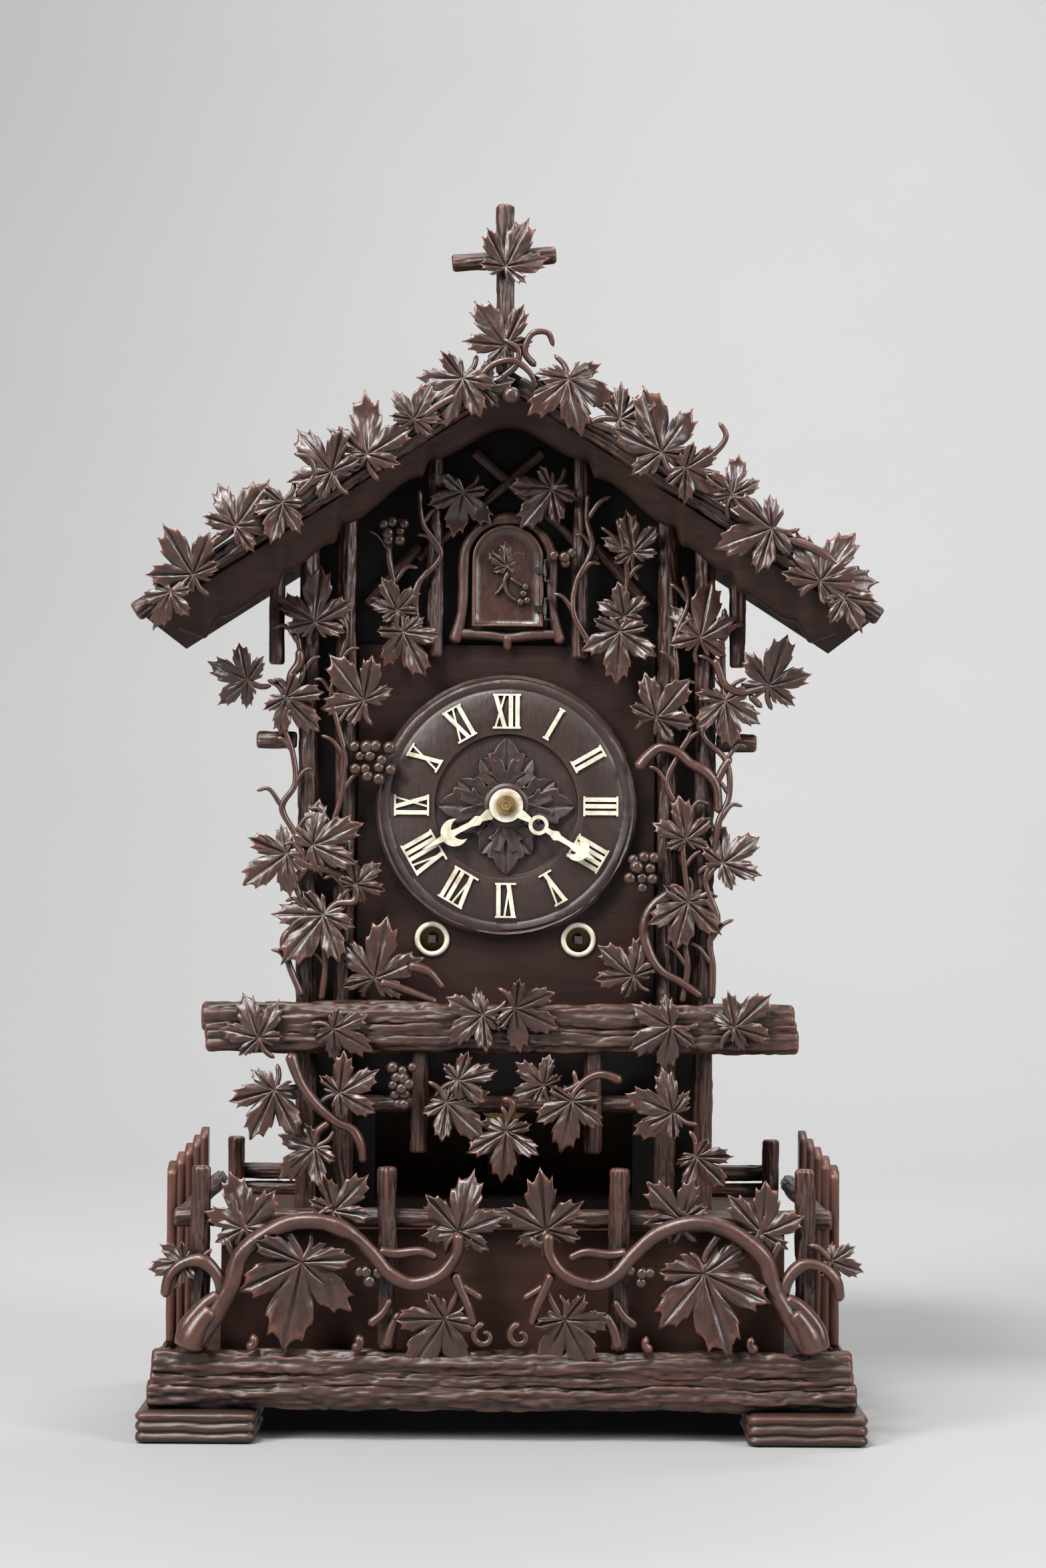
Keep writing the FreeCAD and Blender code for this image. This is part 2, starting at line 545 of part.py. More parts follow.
def crescent(angle, along, size, y0, y1):
    """Moon shape whose horns point back towards the hub."""
    cx, cz = clock_point(angle, along, 0)
    hx, hz = clock_point(angle, along - size * 0.62, 0)
    return disc(cx, cz, size, y0, y1).cut(disc(hx, hz, size * 0.80, y0 - 1, y1 + 1))


def make_hands():
    y0, y1 = DIAL_Y - 3.4, DIAL_Y - 2.2
    stem = [(5, 0), (6, 1.9), (9, 2.6), (13, 1.3), (15, 2.3), (19, 1.2), (26, 1.3), (29, 1.9),
            (33, 1.5), (44, 0)]
    hour = fused([disc(0, DIAL_Z, 6.6, y0, y1), hand_piece(HOUR_ANGLE, stem, y0, y1),
                  crescent(HOUR_ANGLE, 27, 6.4, y0, y1)])
    save("hour_hand", hour.cut(disc(0, DIAL_Z, 3.4, y0 - 1, y1 + 1)))
    y0, y1 = DIAL_Y - 5.4, DIAL_Y - 4.2
    tip = [(24, 0), (25, 1.6), (27, 2.4), (29, 1.3), (34, 1.1), (38, 1.6), (41, 1.7), (49, 0)]
    cx, cz = clock_point(MINUTE_ANGLE, 17.5, 0)
    loop = Part.makeCylinder(4.6, y1 - y0, V(cx, y0, cz), V(0, 1, 0))
    loop = loop.cut(disc(cx, cz, 2.9, y0 - 1, y1 + 1))
    neck = hand_piece(MINUTE_ANGLE, [(6, 0), (6.2, 2.2), (9, 2.0), (14, 1.0), (14.2, 0)], y0, y1)
    neck2 = hand_piece(MINUTE_ANGLE, [(21, 0), (21.2, 1.2), (25, 1.3), (25.2, 0)], y0, y1)
    minute = fused([disc(0, DIAL_Z, 7.8, y0, y1), loop, neck, neck2,
                    hand_piece(MINUTE_ANGLE, tip, y0, y1), crescent(MINUTE_ANGLE, 38.5, 5.6, y0, y1)])
    save("minute_hand", minute.cut(disc(0, DIAL_Z, 2.4, y0 - 1, y1 + 1)))
    nut = fused([disc(0, DIAL_Z, 4.4, DIAL_Y - 7.2, DIAL_Y - 5.4),
                 disc(0, DIAL_Z, 2.4, DIAL_Y - 8.4, DIAL_Y - 7.2)])
    save("minute_pipe", nut.cut(disc(0, DIAL_Z, 1.35, DIAL_Y - 9, DIAL_Y - 5)))


# ---------------------------------------------------------------- gears
def gear(centre, teeth, module, phase, y0, y1, bore):
    """Spur gear with involute flanks, thinned for backlash; phase is the angle of one tooth."""
    pressure = math.radians(25)
    pitch = teeth * module / 2.0
    base, tip, root = pitch * math.cos(pressure), pitch + 0.7 * module, pitch - 0.95 * module
    half = math.pi / (2 * teeth) - 0.1 / pitch + math.tan(pressure) - pressure
    flank = [(root, half)]
    for k in range(4):
        r = max(base, root) + (tip - max(base, root)) * k / 3.0
        a = math.acos(min(1.0, base / r))
        flank.append((r, half - math.tan(a) + a))
    if root >= base:
        flank = flank[1:]
    points = []
    for i in range(teeth):
        mid = phase + 2 * math.pi * i / teeth
        for r, a in [(r, -a) for r, a in flank] + list(reversed(flank)):
            points.append((centre[0] + r * math.cos(mid + a), centre[1] + r * math.sin(mid + a)))
    return prism(points, y0, y1).cut(disc(centre[0], centre[1], bore, y0 - 1, y1 + 1))


def mesh(centre_a, n_a, y_a, centre_b, n_b, y_b, module, bore_a, bore_b):
    """A pair of gears in mesh: a tooth of the first stands in a gap of the second."""
    line = math.atan2(centre_b[1] - centre_a[1], centre_b[0] - centre_a[0])
    first = gear(centre_a, n_a, module, line, y_a[0], y_a[1], bore_a)
    second = gear(centre_b, n_b, module, line + math.pi + math.pi / n_b, y_b[0], y_b[1], bore_b)
    return first, second


def arbor(centre, y0, y1, radius=ARBOR_R):
    return disc(centre[0], centre[1], radius, y0, y1)


def meeting_point():
    """Second arbor of the time train: 36 from the great wheel and 34.8 from the centre."""
    dx, dz = CENTRE[0] - WIND_X, CENTRE[1] - WIND_Z
    d = math.hypot(dx, dz)
    along = (36.0 ** 2 - 34.8 ** 2 + d * d) / (2 * d)
    off = math.sqrt(36.0 ** 2 - along * along)
    return (WIND_X + (along * dx + off * dz) / d, WIND_Z + (along * dz - off * dx) / d)


SECOND = meeting_point()


def make_movement():
    shafts = [CENTRE, THIRD, ESCAPE, ANCHOR, PIN, FLY, SECOND]
    for node, y0, y1 in (("front_plate", FRONT_P0, FRONT_P1), ("back_plate", BACK_P0, BACK_P1)):
        plate = box(-PLATE_X, PLATE_X, y0, y1, PLATE_Z0 + 0.1, PLATE_Z1)
        holes = [disc(x, z, ARBOR_R + RUN, y0 - 1, y1 + 1) for x, z in shafts]
        holes += [disc(x, WIND_Z, WIND_R + RUN, y0 - 1, y1 + 1) for x in (-WIND_X, WIND_X)]
        if node == "front_plate":
            holes.append(disc(MOTION[0], MOTION[1], 1.0, y0 - 1, y1 + 1))
        save("movement_frame", plate.cut(fused(holes)))
    corners = [(x, z) for x in (-54, 54) for z in (193, 360)]
    save("movement_frame", [disc(x, z, 3.2, FRONT_P1, BACK_P0) for x, z in corners])
    great, second_pinion = mesh(TIME_GREAT, 80, (5, 7.5), SECOND, 10, (4, 8.5), 0.8, WIND_R + RUN, 1.0)
    second_wheel, centre_pinion = mesh(SECOND, 100, (-23, -21.4), CENTRE, 16, (-24, -20.4), 0.6, 1.0, 1.0)
    centre_wheel, third_pinion = mesh(CENTRE, 80, (-9, -7.4), THIRD, 8, (-10, -6.4), 0.55, 1.0, 0.8)
    third_wheel, escape_pinion = mesh(THIRD, 80, (-17, -15.4), ESCAPE, 8, (-18, -14.4), 0.55, 1.0, 0.8)
    save("time_great_wheel", barrel(TIME_GREAT, great))
    save("second_wheel", fused([arbor(SECOND, -37, 13), second_pinion, second_wheel]))
    save("centre_wheel", fused([arbor(CENTRE, DIAL_Y - 8.0, 13), centre_pinion, centre_wheel]))
    save("third_wheel", fused([arbor(THIRD, -37, 13), third_pinion, third_wheel]))
    save("escape_wheel", fused([arbor(ESCAPE, -37, 13), escape_pinion, escape_disc()]))
    strike, pin_pinion = mesh(STRIKE_GREAT, 80, (5, 7.5), PIN, 10, (4, 8.5), 0.8, WIND_R + RUN, 1.0)
    pin_wheel, fly_pinion = mesh(PIN, 80, (-20, -18.4), FLY, 8, (-21, -17.4), 0.5, 1.0, 0.8)
    save("strike_great_wheel", barrel(STRIKE_GREAT, strike))
    pins = [disc(PIN[0] + 16 * math.cos(k * math.pi / 4), PIN[1] + 16 * math.sin(k * math.pi / 4),
                 0.7, -23.5, -19.9) for k in range(8)]
    save("pin_wheel", fused([arbor(PIN, -37, 13), pin_pinion, pin_wheel] + pins))
    vane = box(FLY[0] - 12, FLY[0] + 12, -14, -2, FLY[1] - 0.5, FLY[1] + 0.5)
    save("fly", fused([arbor(FLY, -37, 13), fly_pinion, vane]))
    for name, x in (("winding_arbor_left", -WIND_X), ("winding_arbor_right", WIND_X)):
        square = box(x - 1.8, x + 1.8, -55, -41, WIND_Z - 1.8, WIND_Z + 1.8)
        save(name, fused([disc(x, WIND_Z, WIND_R, -41, 14), square]))
    make_motion_work()
    make_pendulum()


def barrel(centre, wheel):
    drum = ring(centre[0], centre[1], 22, WIND_R + RUN, -16, 5)
    return fused([drum, wheel])


def escape_disc():
    points = []
    for i in range(40):
        a = 2 * math.pi * i / 40
        points.append((ESCAPE[0] + 12.6 * math.cos(a), ESCAPE[1] + 12.6 * math.sin(a)))
        points.append((ESCAPE[0] + 15 * math.cos(a + 0.06), ESCAPE[1] + 15 * math.sin(a + 0.06)))
    return prism(points, -1, 0.5).cut(disc(ESCAPE[0], ESCAPE[1], 1.0, -2, 2))


def make_motion_work():
    cannon, wheel = mesh(CENTRE, 12, (-40.6, -37.6), MOTION, 36, (-40.4, -38.8), 0.5, 1.35, 0.8)
    pinion, hour = mesh(MOTION, 10, (-44.6, -40.4), CENTRE, 40, (-43.8, -42.2), 0.48, 0.8, 2.45)
    tube = ring(0, DIAL_Z, 2.4, 1.35, DIAL_Y - 5.4, -37.6)
    save("minute_pipe", fused([tube, cannon]))
    save("hour_wheel", fused([ring(0, DIAL_Z, 3.4, 2.45, DIAL_Y - 3.4, -42.2), hour]))
    save("motion_wheel", fused([disc(MOTION[0], MOTION[1], 0.95, -44.6, -35), wheel, pinion]))


def make_pendulum():
    x, z = ANCHOR
    arms = [(-12, z - 9.6), (-9.4, z - 8.2), (-8, z - 1.5), (0, z + 0.2), (8, z - 1.5),
            (9.4, z - 8.2), (12, z - 9.6), (10, z + 1), (0, z + 3.4), (-10, z + 1)]
    save("pendulum_rod", fused([prism(arms, -2, 1.5), arbor(ANCHOR, -37, 20)]))
    rod = box(-1.3, 1.3, 20, 21.4, 150, z + 3)
    save("pendulum_rod", rod)
    bob = disc(0, 150, 16, 21.4, 24.4)
    save("pendulum_bob", bob.makeFillet(1.2, bob.Edges[:1]))


def make_sound():
    """Cuckoo bird on its slide, two bellows, gong and hammer."""
    rail = [Part.makeCylinder(1.2, 62, V(0, -30, 384), V(0, 1, 0)), box(-5, 5, 32, 36, 366, 392),
            box(-5, 5, 13.2, 36, 366, 370), box(-5, 5, 13.2, 16, 357, 370)]
    save("sound_brackets", [fused(rail)])
    tube = Part.makeCylinder(2.4, 14, V(0, -28, 384), V(0, 1, 0))
    stem = box(-1, 1, -26, -18, 384, 388)
    carriage = fused([tube, stem]).cut(Part.makeCylinder(1.25, 16, V(0, -29, 384), V(0, 1, 0)))
    save("bird", carriage)
    body = Part.makeSphere(5.2, V(0, -24, 393.1))
    head = Part.makeSphere(3.4, V(0, -30, 398.4))
    beak = Part.makeCone(1.3, 0.2, 6, V(0, -32.5, 398.4), V(0, -1, -0.15))
    tail = Part.makeCone(2.6, 1.2, 14, V(0, -21, 392.8), V(0, 1, -0.2))
    save("bird", fused([body, head, beak, tail]))
    for name, s in (("left", -1), ("right", 1)):
        x0, x1 = sorted((s * 22, s * 86))
        save("bellows_boxes", box(x0, x1, 20, 58, 350, 372))
        a0, a1 = sorted((s * 85, s * 22))
        save("bellows_lid_" + name, box(a0, a1, 20, 58, 372.4, 375.0))
    rings = [Part.makeTorus(r, 1.1, V(0, 56, 225), V(0, 1, 0)) for r in (24, 30, 36)]
    bar = box(-1.4, 1.4, 57.0, 59.0, 187, 250)
    save("gong", rings)
    save("gong", [box(-8, 8, 50, 62, 99.1, 187), bar])
    pivot = disc(44, 196, 1.2, 18, 34)
    arm = box(42.9, 45.1, 30, 32, 197, 224)
    save("hammer", fused([pivot, arm, disc(44, 227, 4.2, 27, 35)]))
    bracket = box(36, 52, 18.5, 28, 187.1, 200)
    save("sound_brackets", [bracket.cut(disc(44, 196, 1.25, 17, 30)), box(30, 58, 14.6, 28, 180, 187.1)])


def main():
    make_base()
    make_plinth_box()
    make_fence()
    make_case()
    make_back_door()
    make_front_logs()
    make_truss()
    make_roof()
    make_foliage()
    make_cuckoo_door()
    make_dial()
    make_hands()
    make_movement()
    make_sound()
    write_nodes()


main()
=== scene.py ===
"""Looks of the carved cuckoo clock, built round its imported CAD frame, in metres."""
import math
import random

import bmesh
import bpy
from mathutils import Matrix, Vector, noise


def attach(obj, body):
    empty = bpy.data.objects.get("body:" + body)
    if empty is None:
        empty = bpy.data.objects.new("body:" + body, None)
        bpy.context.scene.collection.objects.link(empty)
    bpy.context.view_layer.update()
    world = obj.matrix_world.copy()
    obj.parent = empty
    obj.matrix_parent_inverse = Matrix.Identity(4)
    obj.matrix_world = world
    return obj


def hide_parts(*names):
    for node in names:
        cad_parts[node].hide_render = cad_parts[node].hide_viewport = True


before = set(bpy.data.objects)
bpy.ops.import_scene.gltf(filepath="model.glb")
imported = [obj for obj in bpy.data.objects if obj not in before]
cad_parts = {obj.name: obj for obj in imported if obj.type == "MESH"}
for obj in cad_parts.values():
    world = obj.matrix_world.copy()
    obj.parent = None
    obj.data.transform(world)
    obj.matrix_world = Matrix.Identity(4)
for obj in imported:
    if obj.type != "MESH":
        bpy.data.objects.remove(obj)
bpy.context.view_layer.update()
MM = 0.001
rng = random.Random(7)


# ---------------------------------------------------------------- materials
class Nodes:
    """Small helper that builds a shader tree on one Principled material."""

    def __init__(self, name):
        self.mat = bpy.data.materials.new(name)
        self.mat.use_nodes = True
        self.tree = self.mat.node_tree
        self.bsdf = next(n for n in self.tree.nodes if n.type == "BSDF_PRINCIPLED")
        self.coords = self.node("TexCoord").outputs["Object"]

    def link(self, a, b):
        self.tree.links.new(a, b)

    def node(self, kind, **values):
        """New shader node with its constant inputs."""
        node = self.tree.nodes.new("ShaderNode" + kind)
        for key, value in values.items():
            node.inputs[key].default_value = value
        return node

    def mapping(self, scale):
        node = self.node("Mapping", Scale=scale)
        self.link(self.coords, node.inputs["Vector"])
        return node.outputs["Vector"]

    def noise(self, vector, detail, rough, distortion=0.0):
        node = self.node("TexNoise", Scale=1.0, Detail=detail, Roughness=rough, Distortion=distortion)
        self.link(vector, node.inputs["Vector"])
        return node.outputs["Fac"]

    def ramp(self, fac, stops):
        node = self.node("ValToRGB")
        ramp = node.color_ramp
        while len(ramp.elements) < len(stops):
            ramp.elements.new(0.5)
        for element, (at, color) in zip(ramp.elements, stops):
            element.position = at
            element.color = (*color, 1)
        self.link(fac, node.inputs["Fac"])
        return node.outputs["Color"]

    def math(self, op, a, b):
        node = self.node("Math")
        node.operation = op
        for i, v in enumerate((a, b)):
            if isinstance(v, (int, float)):
                node.inputs[i].default_value = v
            else:
                self.link(v, node.inputs[i])
        return node.outputs[0]

    def mix(self, fac, a, b):
        node = self.node("Mix")
        node.data_type = "RGBA"
        self.link(fac, node.inputs[0])
        for i, v in ((6, a), (7, b)):
            if isinstance(v, tuple):
                node.inputs[i].default_value = (*v, 1)
            else:
                self.link(v, node.inputs[i])
        return node.outputs[2]

    def map_range(self, value, low, high, to_low=0.0, to_high=1.0):
        node = self.node("MapRange")
        for key, v in (("From Min", low), ("From Max", high), ("To Min", to_low), ("To Max", to_high)):
            node.inputs[key].default_value = v
        self.link(value, node.inputs["Value"])
        return node.outputs["Result"]

    def edge_wear(self, low, high):
        """1 where the mesh is pointed outwards, as on edges, and 0 where it is flat or hollow."""
        geo = self.node("NewGeometry")
        return self.map_range(geo.outputs["Pointiness"], low, high)

    def painted_shade_mask(self, distance=0.009):
        """Mask for painted shade, from ambient occlusion: 1 in the open, falling to 0 in corners closer
        together than the distance.
        """
        node = self.node("AmbientOcclusion", Distance=distance)
        node.samples = 4
        return node.outputs["AO"]

    def bump(self, height, strength, distance):
        node = self.node("Bump", Strength=strength, Distance=distance)
        self.link(height, node.inputs["Height"])
        self.link(node.outputs["Normal"], self.bsdf.inputs["Normal"])

    def color(self, value):
        self.link(value, self.bsdf.inputs["Base Color"])

    def rough(self, value):
        self.link(value, self.bsdf.inputs["Roughness"])


# object-space y range over which the recessed front board gets painted shade, darker further back
PAINTED_SHADE_Y = (-0.0475, -0.0462)


def wood(name, stain, grain, rough=(0.34, 0.56), wear=0.75, bump=0.35, coat=0.12, gloss=0.5, recess=False):
    """Stained wood: streaky grain, lighter worn edges, painted shade in corners and, if asked, painted shade
    over the deep part of a recess.
    """
    dark, mid, worn = stain
    n = Nodes(name)
    along = n.mapping(tuple(260 / g for g in grain))
    streaks = n.noise(along, 8, 0.65, 0.4)
    patches = n.noise(n.mapping((28, 28, 28)), 4, 0.6)
    fine = n.noise(n.mapping(tuple(1500 / g for g in grain)), 3, 0.7)
    base = n.ramp(streaks, [(0.3, dark), (0.55, mid), (0.75, tuple(c * 1.25 for c in mid))])
    tinted = n.mix(n.map_range(patches, 0.35, 0.7, 0.0, 0.6), base, tuple(c * 0.65 for c in mid))
    edges = n.edge_wear(0.515, 0.60)
    scuffs = n.math("MULTIPLY", edges, n.map_range(patches, 0.3, 0.62, 0.35, 1.0))
    aged = n.mix(n.math("MULTIPLY", scuffs, wear), tinted, worn)
    # painted shade: corners darkened towards a fifth of the dark stain by the ambient-occlusion mask
    painted_shade_fac = n.map_range(n.painted_shade_mask(), 0.35, 0.95)
    final = n.mix(painted_shade_fac, tuple(c * 0.20 for c in dark), aged)
    # painted shade: where the board lies deeper in object y it is mixed towards near black, in place of the
    # shade of a real recess
    if recess:
        split = n.node("SeparateXYZ")
        n.link(n.coords, split.inputs[0])
        painted_recess_shade = n.map_range(split.outputs["Y"], *PAINTED_SHADE_Y, 0.0, 0.85)
        final = n.mix(painted_recess_shade, final, tuple(c * 0.15 for c in dark))
    n.color(final)
    mottle = n.math("ADD", n.math("MULTIPLY", fine, 0.6), n.math("MULTIPLY", patches, 0.4))
    n.rough(n.map_range(mottle, 0.3, 0.7, *rough))
    uneven = n.noise(n.mapping((75, 75, 75)), 2, 0.5)
    height = n.math("ADD", n.math("MULTIPLY", streaks, 0.7), n.math("MULTIPLY", fine, 0.5))
    height = n.math("ADD", height, n.math("MULTIPLY", uneven, 2.6))
    n.bump(height, bump, 0.0009)
    n.bsdf.inputs["Coat Weight"].default_value = coat
    n.bsdf.inputs["Coat Roughness"].default_value = 0.3
    n.bsdf.inputs["Specular IOR Level"].default_value = gloss
    return n.mat


# stains: dark, middle and worn colour
CARVED = ((0.007, 0.0027, 0.0019), (0.046, 0.0172, 0.0114), (0.215, 0.068, 0.037))
FOLIAGE = ((0.009, 0.0033, 0.0023), (0.046, 0.0172, 0.0116), (0.190, 0.062, 0.034))
GRAPE = ((0.020, 0.010, 0.0075), (0.050, 0.025, 0.018), (0.12, 0.05, 0.03))
BOARD = ((0.010, 0.0042, 0.0032), (0.028, 0.0112, 0.0076), (0.085, 0.030, 0.017))
SHINGLE = ((0.010, 0.0044, 0.0034), (0.027, 0.0115, 0.0082), (0.070, 0.028, 0.018))
PANEL = ((0.008, 0.0032, 0.0026), (0.019, 0.0074, 0.0058), (0.050, 0.018, 0.012))
BARE = ((0.07, 0.035, 0.018), (0.16, 0.085, 0.045), (0.24, 0.14, 0.08))
TURNED = ((0.009, 0.0038, 0.0030), (0.025, 0.0095, 0.0068), (0.085, 0.030, 0.018))
LIME = ((0.28, 0.17, 0.08), (0.46, 0.30, 0.16), (0.55, 0.4, 0.24))
FEATHER = ((0.10, 0.13, 0.14), (0.28, 0.32, 0.33), (0.4, 0.38, 0.3))

LOG_X = wood("log_wood_x", CARVED, (14, 1, 1))
LOG_Z = wood("log_wood_z", CARVED, (1, 1, 14))
LEAF = wood("leaf_wood", FOLIAGE, (2, 2, 4), (0.26, 0.44), 0.8, 0.34, 0.34)
BERRY = wood("berry_wood", GRAPE, (2, 2, 2), (0.22, 0.40), 0.10, 0.15, 0.3)
BOARD_X = wood("board_wood_x", BOARD, (16, 1, 1), (0.50, 0.68), 0.22, 0.22, 0.0, 0.25)
BOARD_Z = wood("board_wood_z", BOARD, (1, 1, 16), (0.50, 0.68), 0.22, 0.22, 0.0, 0.25)
ROOF_WOOD = wood("roof_wood", SHINGLE, (16, 1, 1), (0.70, 0.88), 0.35, 0.35, 0.0, 0.05)
# recess=True: painted shade over the deep part of the front board
FRONT_WOOD = wood("front_wood", PANEL, (16, 1, 1), (0.34, 0.50), 0.10, 0.18, 0.06, 0.28, recess=True)
BACK_WOOD = wood("back_wood", BARE, (1, 1, 16), (0.5, 0.75), 0.5, 0.4, 0.0)
DIAL_WOOD = wood("dial_wood", TURNED, (3, 3, 10), (0.38, 0.58), 0.7, 0.35, 0.08)
PALE_WOOD = wood("pale_wood", LIME, (1, 1, 16), (0.5, 0.7), 0.3, 0.3, 0.0)
BIRD_PAINT = wood("bird_paint", FEATHER, (2, 4, 2), (0.4, 0.6), 0.3)


def bone():
    n = Nodes("aged_bone")
    patches = n.noise(n.mapping((160, 160, 160)), 5, 0.65)
    fine = n.noise(n.mapping((1400, 1400, 500)), 3, 0.6)
    base = n.ramp(patches, [(0.3, (0.34, 0.28, 0.19)), (0.5, (0.50, 0.46, 0.37)),
                            (0.7, (0.60, 0.57, 0.48))])
    # painted shade: corners of the bone darkened towards brown by the ambient-occlusion mask
    painted_shade_fac = n.map_range(n.painted_shade_mask(0.0022), 0.45, 0.95)
    n.color(n.mix(painted_shade_fac, (0.16, 0.075, 0.03), base))
    n.rough(n.map_range(patches, 0.3, 0.7, 0.32, 0.5))
    n.bump(fine, 0.2, 0.0003)
    return n.mat


def metal(name, dark, light):
    n = Nodes(name)
    patches = n.noise(n.mapping((90, 90, 90)), 6, 0.65)
    brushed = n.noise(n.mapping((2400, 300, 2400)), 3, 0.6)
    base = n.ramp(patches, [(0.3, dark), (0.6, light)])
    # painted shade: corners of the metal darkened towards a third of its dark tone by the ambient-occlusion
    # mask
    painted_shade_fac = n.map_range(n.painted_shade_mask(0.004), 0.3, 0.9)
    n.color(n.mix(painted_shade_fac, tuple(c * 0.3 for c in dark), base))
    n.rough(n.map_range(patches, 0.3, 0.7, 0.28, 0.5))
    n.bump(brushed, 0.15, 0.0002)
    n.bsdf.inputs["Metallic"].default_value = 1.0
    return n.mat


BONE = bone()
BRASS = metal("dull_brass", (0.24, 0.15, 0.055), (0.55, 0.38, 0.16))
STEEL = metal("dark_steel", (0.05, 0.044, 0.040), (0.14, 0.128, 0.118))


# ---------------------------------------------------------------- mesh helpers
def new_object(name, shape, materials, body):
    mesh = bpy.data.meshes.new(name)
    mesh.from_pydata(shape.verts, [], shape.faces)
    obj = bpy.data.objects.new(name, mesh)
    bpy.context.scene.collection.objects.link(obj)
    for material in materials:
        mesh.materials.append(material)
    for polygon, index in zip(mesh.polygons, shape.slots):
        polygon.material_index = index
    bm = bmesh.new()
    bm.from_mesh(mesh)
    bmesh.ops.recalc_face_normals(bm, faces=bm.faces)
    bm.to_mesh(mesh)
    bm.free()
    for p in mesh.polygons:
        p.use_smooth = True
    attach(obj, body)
    return obj


class Shape:
    """Vertices and faces gathered from several carved pieces into one object; added in millimetres."""

    def __init__(self):
        self.verts, self.faces, self.slots = [], [], []

    def add(self, verts, faces, material=0):
        start = len(self.verts)
        self.verts.extend(Vector(v) * MM for v in verts)
        self.faces.extend([tuple(i + start for i in f) for f in faces])
        self.slots.extend([material] * len(faces))


def tube_faces(rings, sides, capped=False):
    """Quads between rings + 1 loops of vertices, each with that many sides, and both ends if capped."""
    faces = []
    for j in range(rings):
        for i in range(sides):
            k = (i + 1) % sides
            faces.append((j * sides + i, j * sides + k, (j + 1) * sides + k, (j + 1) * sides + i))
    if capped:
        faces.append(tuple(range(sides)))
        faces.append(tuple(rings * sides + i for i in range(sides)))
    return faces


def swept_faces(sides, n):
    """Quads of a closed profile of n points, swept once round in that many sides."""
    faces = []
    for i in range(sides):
        m = (i + 1) % sides
        for k in range(n):
            q = (k + 1) % n
            faces.append((i * n + k, i * n + q, m * n + q, m * n + k))
    return faces


def lumps(x, y, z):
    """Smooth noise, from about -1 to 1, at a point."""
    return noise.noise(Vector((x, y, z)))


def bark(t, size, along):
    """Smooth noise at the angle t round a log; a larger size gives more and narrower lumps."""
    return lumps(math.cos(t) * size, math.sin(t) * size, along)


def axes_for(direction):
    """The direction and two more at right angles to it, all of length 1."""
    d = direction.normalized()
    side = Vector((0, 1, 0)) if abs(d.y) < 0.9 else Vector((1, 0, 0))
    u = d.cross(side).normalized()
    return d, u, u.cross(d).normalized()


LOG_SIDES = 44
LOG_BEND = 0.5


def carved_log(shape, start, end, radius, seed, gouge, knots, tall):
    """Log with long gouge cuts, facets, knots and a bevelled, ringed end; all sizes in millimetres."""
    a, b = Vector(start), Vector(end)
    d, u, v = axes_for(b - a)
    length = (b - a).length
    rows = max(14, int(length))
    r = random.Random(seed)
    spots = [(r.uniform(0.1, 0.9) * length, r.uniform(0, 2 * math.pi), r.uniform(0.35, 0.6) * radius)
             for _ in range(knots)]
    verts = []
    stations = [(0.0, 0.0), (0.0, 0.35), (0.0, 0.62), (0.02 * radius, 0.80), (0.22 * radius, 0.97)]
    body = [(0.34 * radius + (length - 0.68 * radius) * i / rows, 1.0) for i in range(rows + 1)]
    tail = [(length - s, k) for s, k in reversed(stations)]
    path = stations + body + tail
    for s, k in path:
        sway = LOG_BEND * Vector((lumps(s * 0.02, seed, 0), lumps(s * 0.02, seed, 9), 0))
        centre = a + d * s + u * sway.x * radius * 0.3 + v * sway.y * radius * 0.3
        for i in range(LOG_SIDES):
            t = 2 * math.pi * i / LOG_SIDES
            cut = bark(t, 2.6, s * 0.030 + seed * 3.7)
            fine = bark(t, 4.6, s * 0.045 + seed * 1.3)
            thin = bark(t, 9.0, s * 0.06 + seed * 2.1)
            groove = -max(0.0, 1 - abs(fine) * 5) * 0.75 - max(0.0, 1 - abs(thin) * 5) * 0.35
            rr = radius * k * (1 - gouge * 0.35 + gouge * 1.1 * cut + gouge * groove)
            for at, turn, size in spots:
                da = (t - turn + math.pi) % (2 * math.pi) - math.pi
                dist = math.hypot(s - at, da * radius) / size
                pit = 1 - 1.6 * math.exp(-dist * dist * 7)
                rr += size * 0.30 * math.exp(-dist * dist) * pit * (k > 0.9)
            rr = min(rr, radius * 1.04 * max(k, 0.001))
            point = u * (rr * math.cos(t)) + v * (rr * math.sin(t))
            point.z *= tall
            verts.append(centre + point)
    shape.add(verts, tube_faces(len(path) - 1, LOG_SIDES))


BRANCH_SIDES = 18


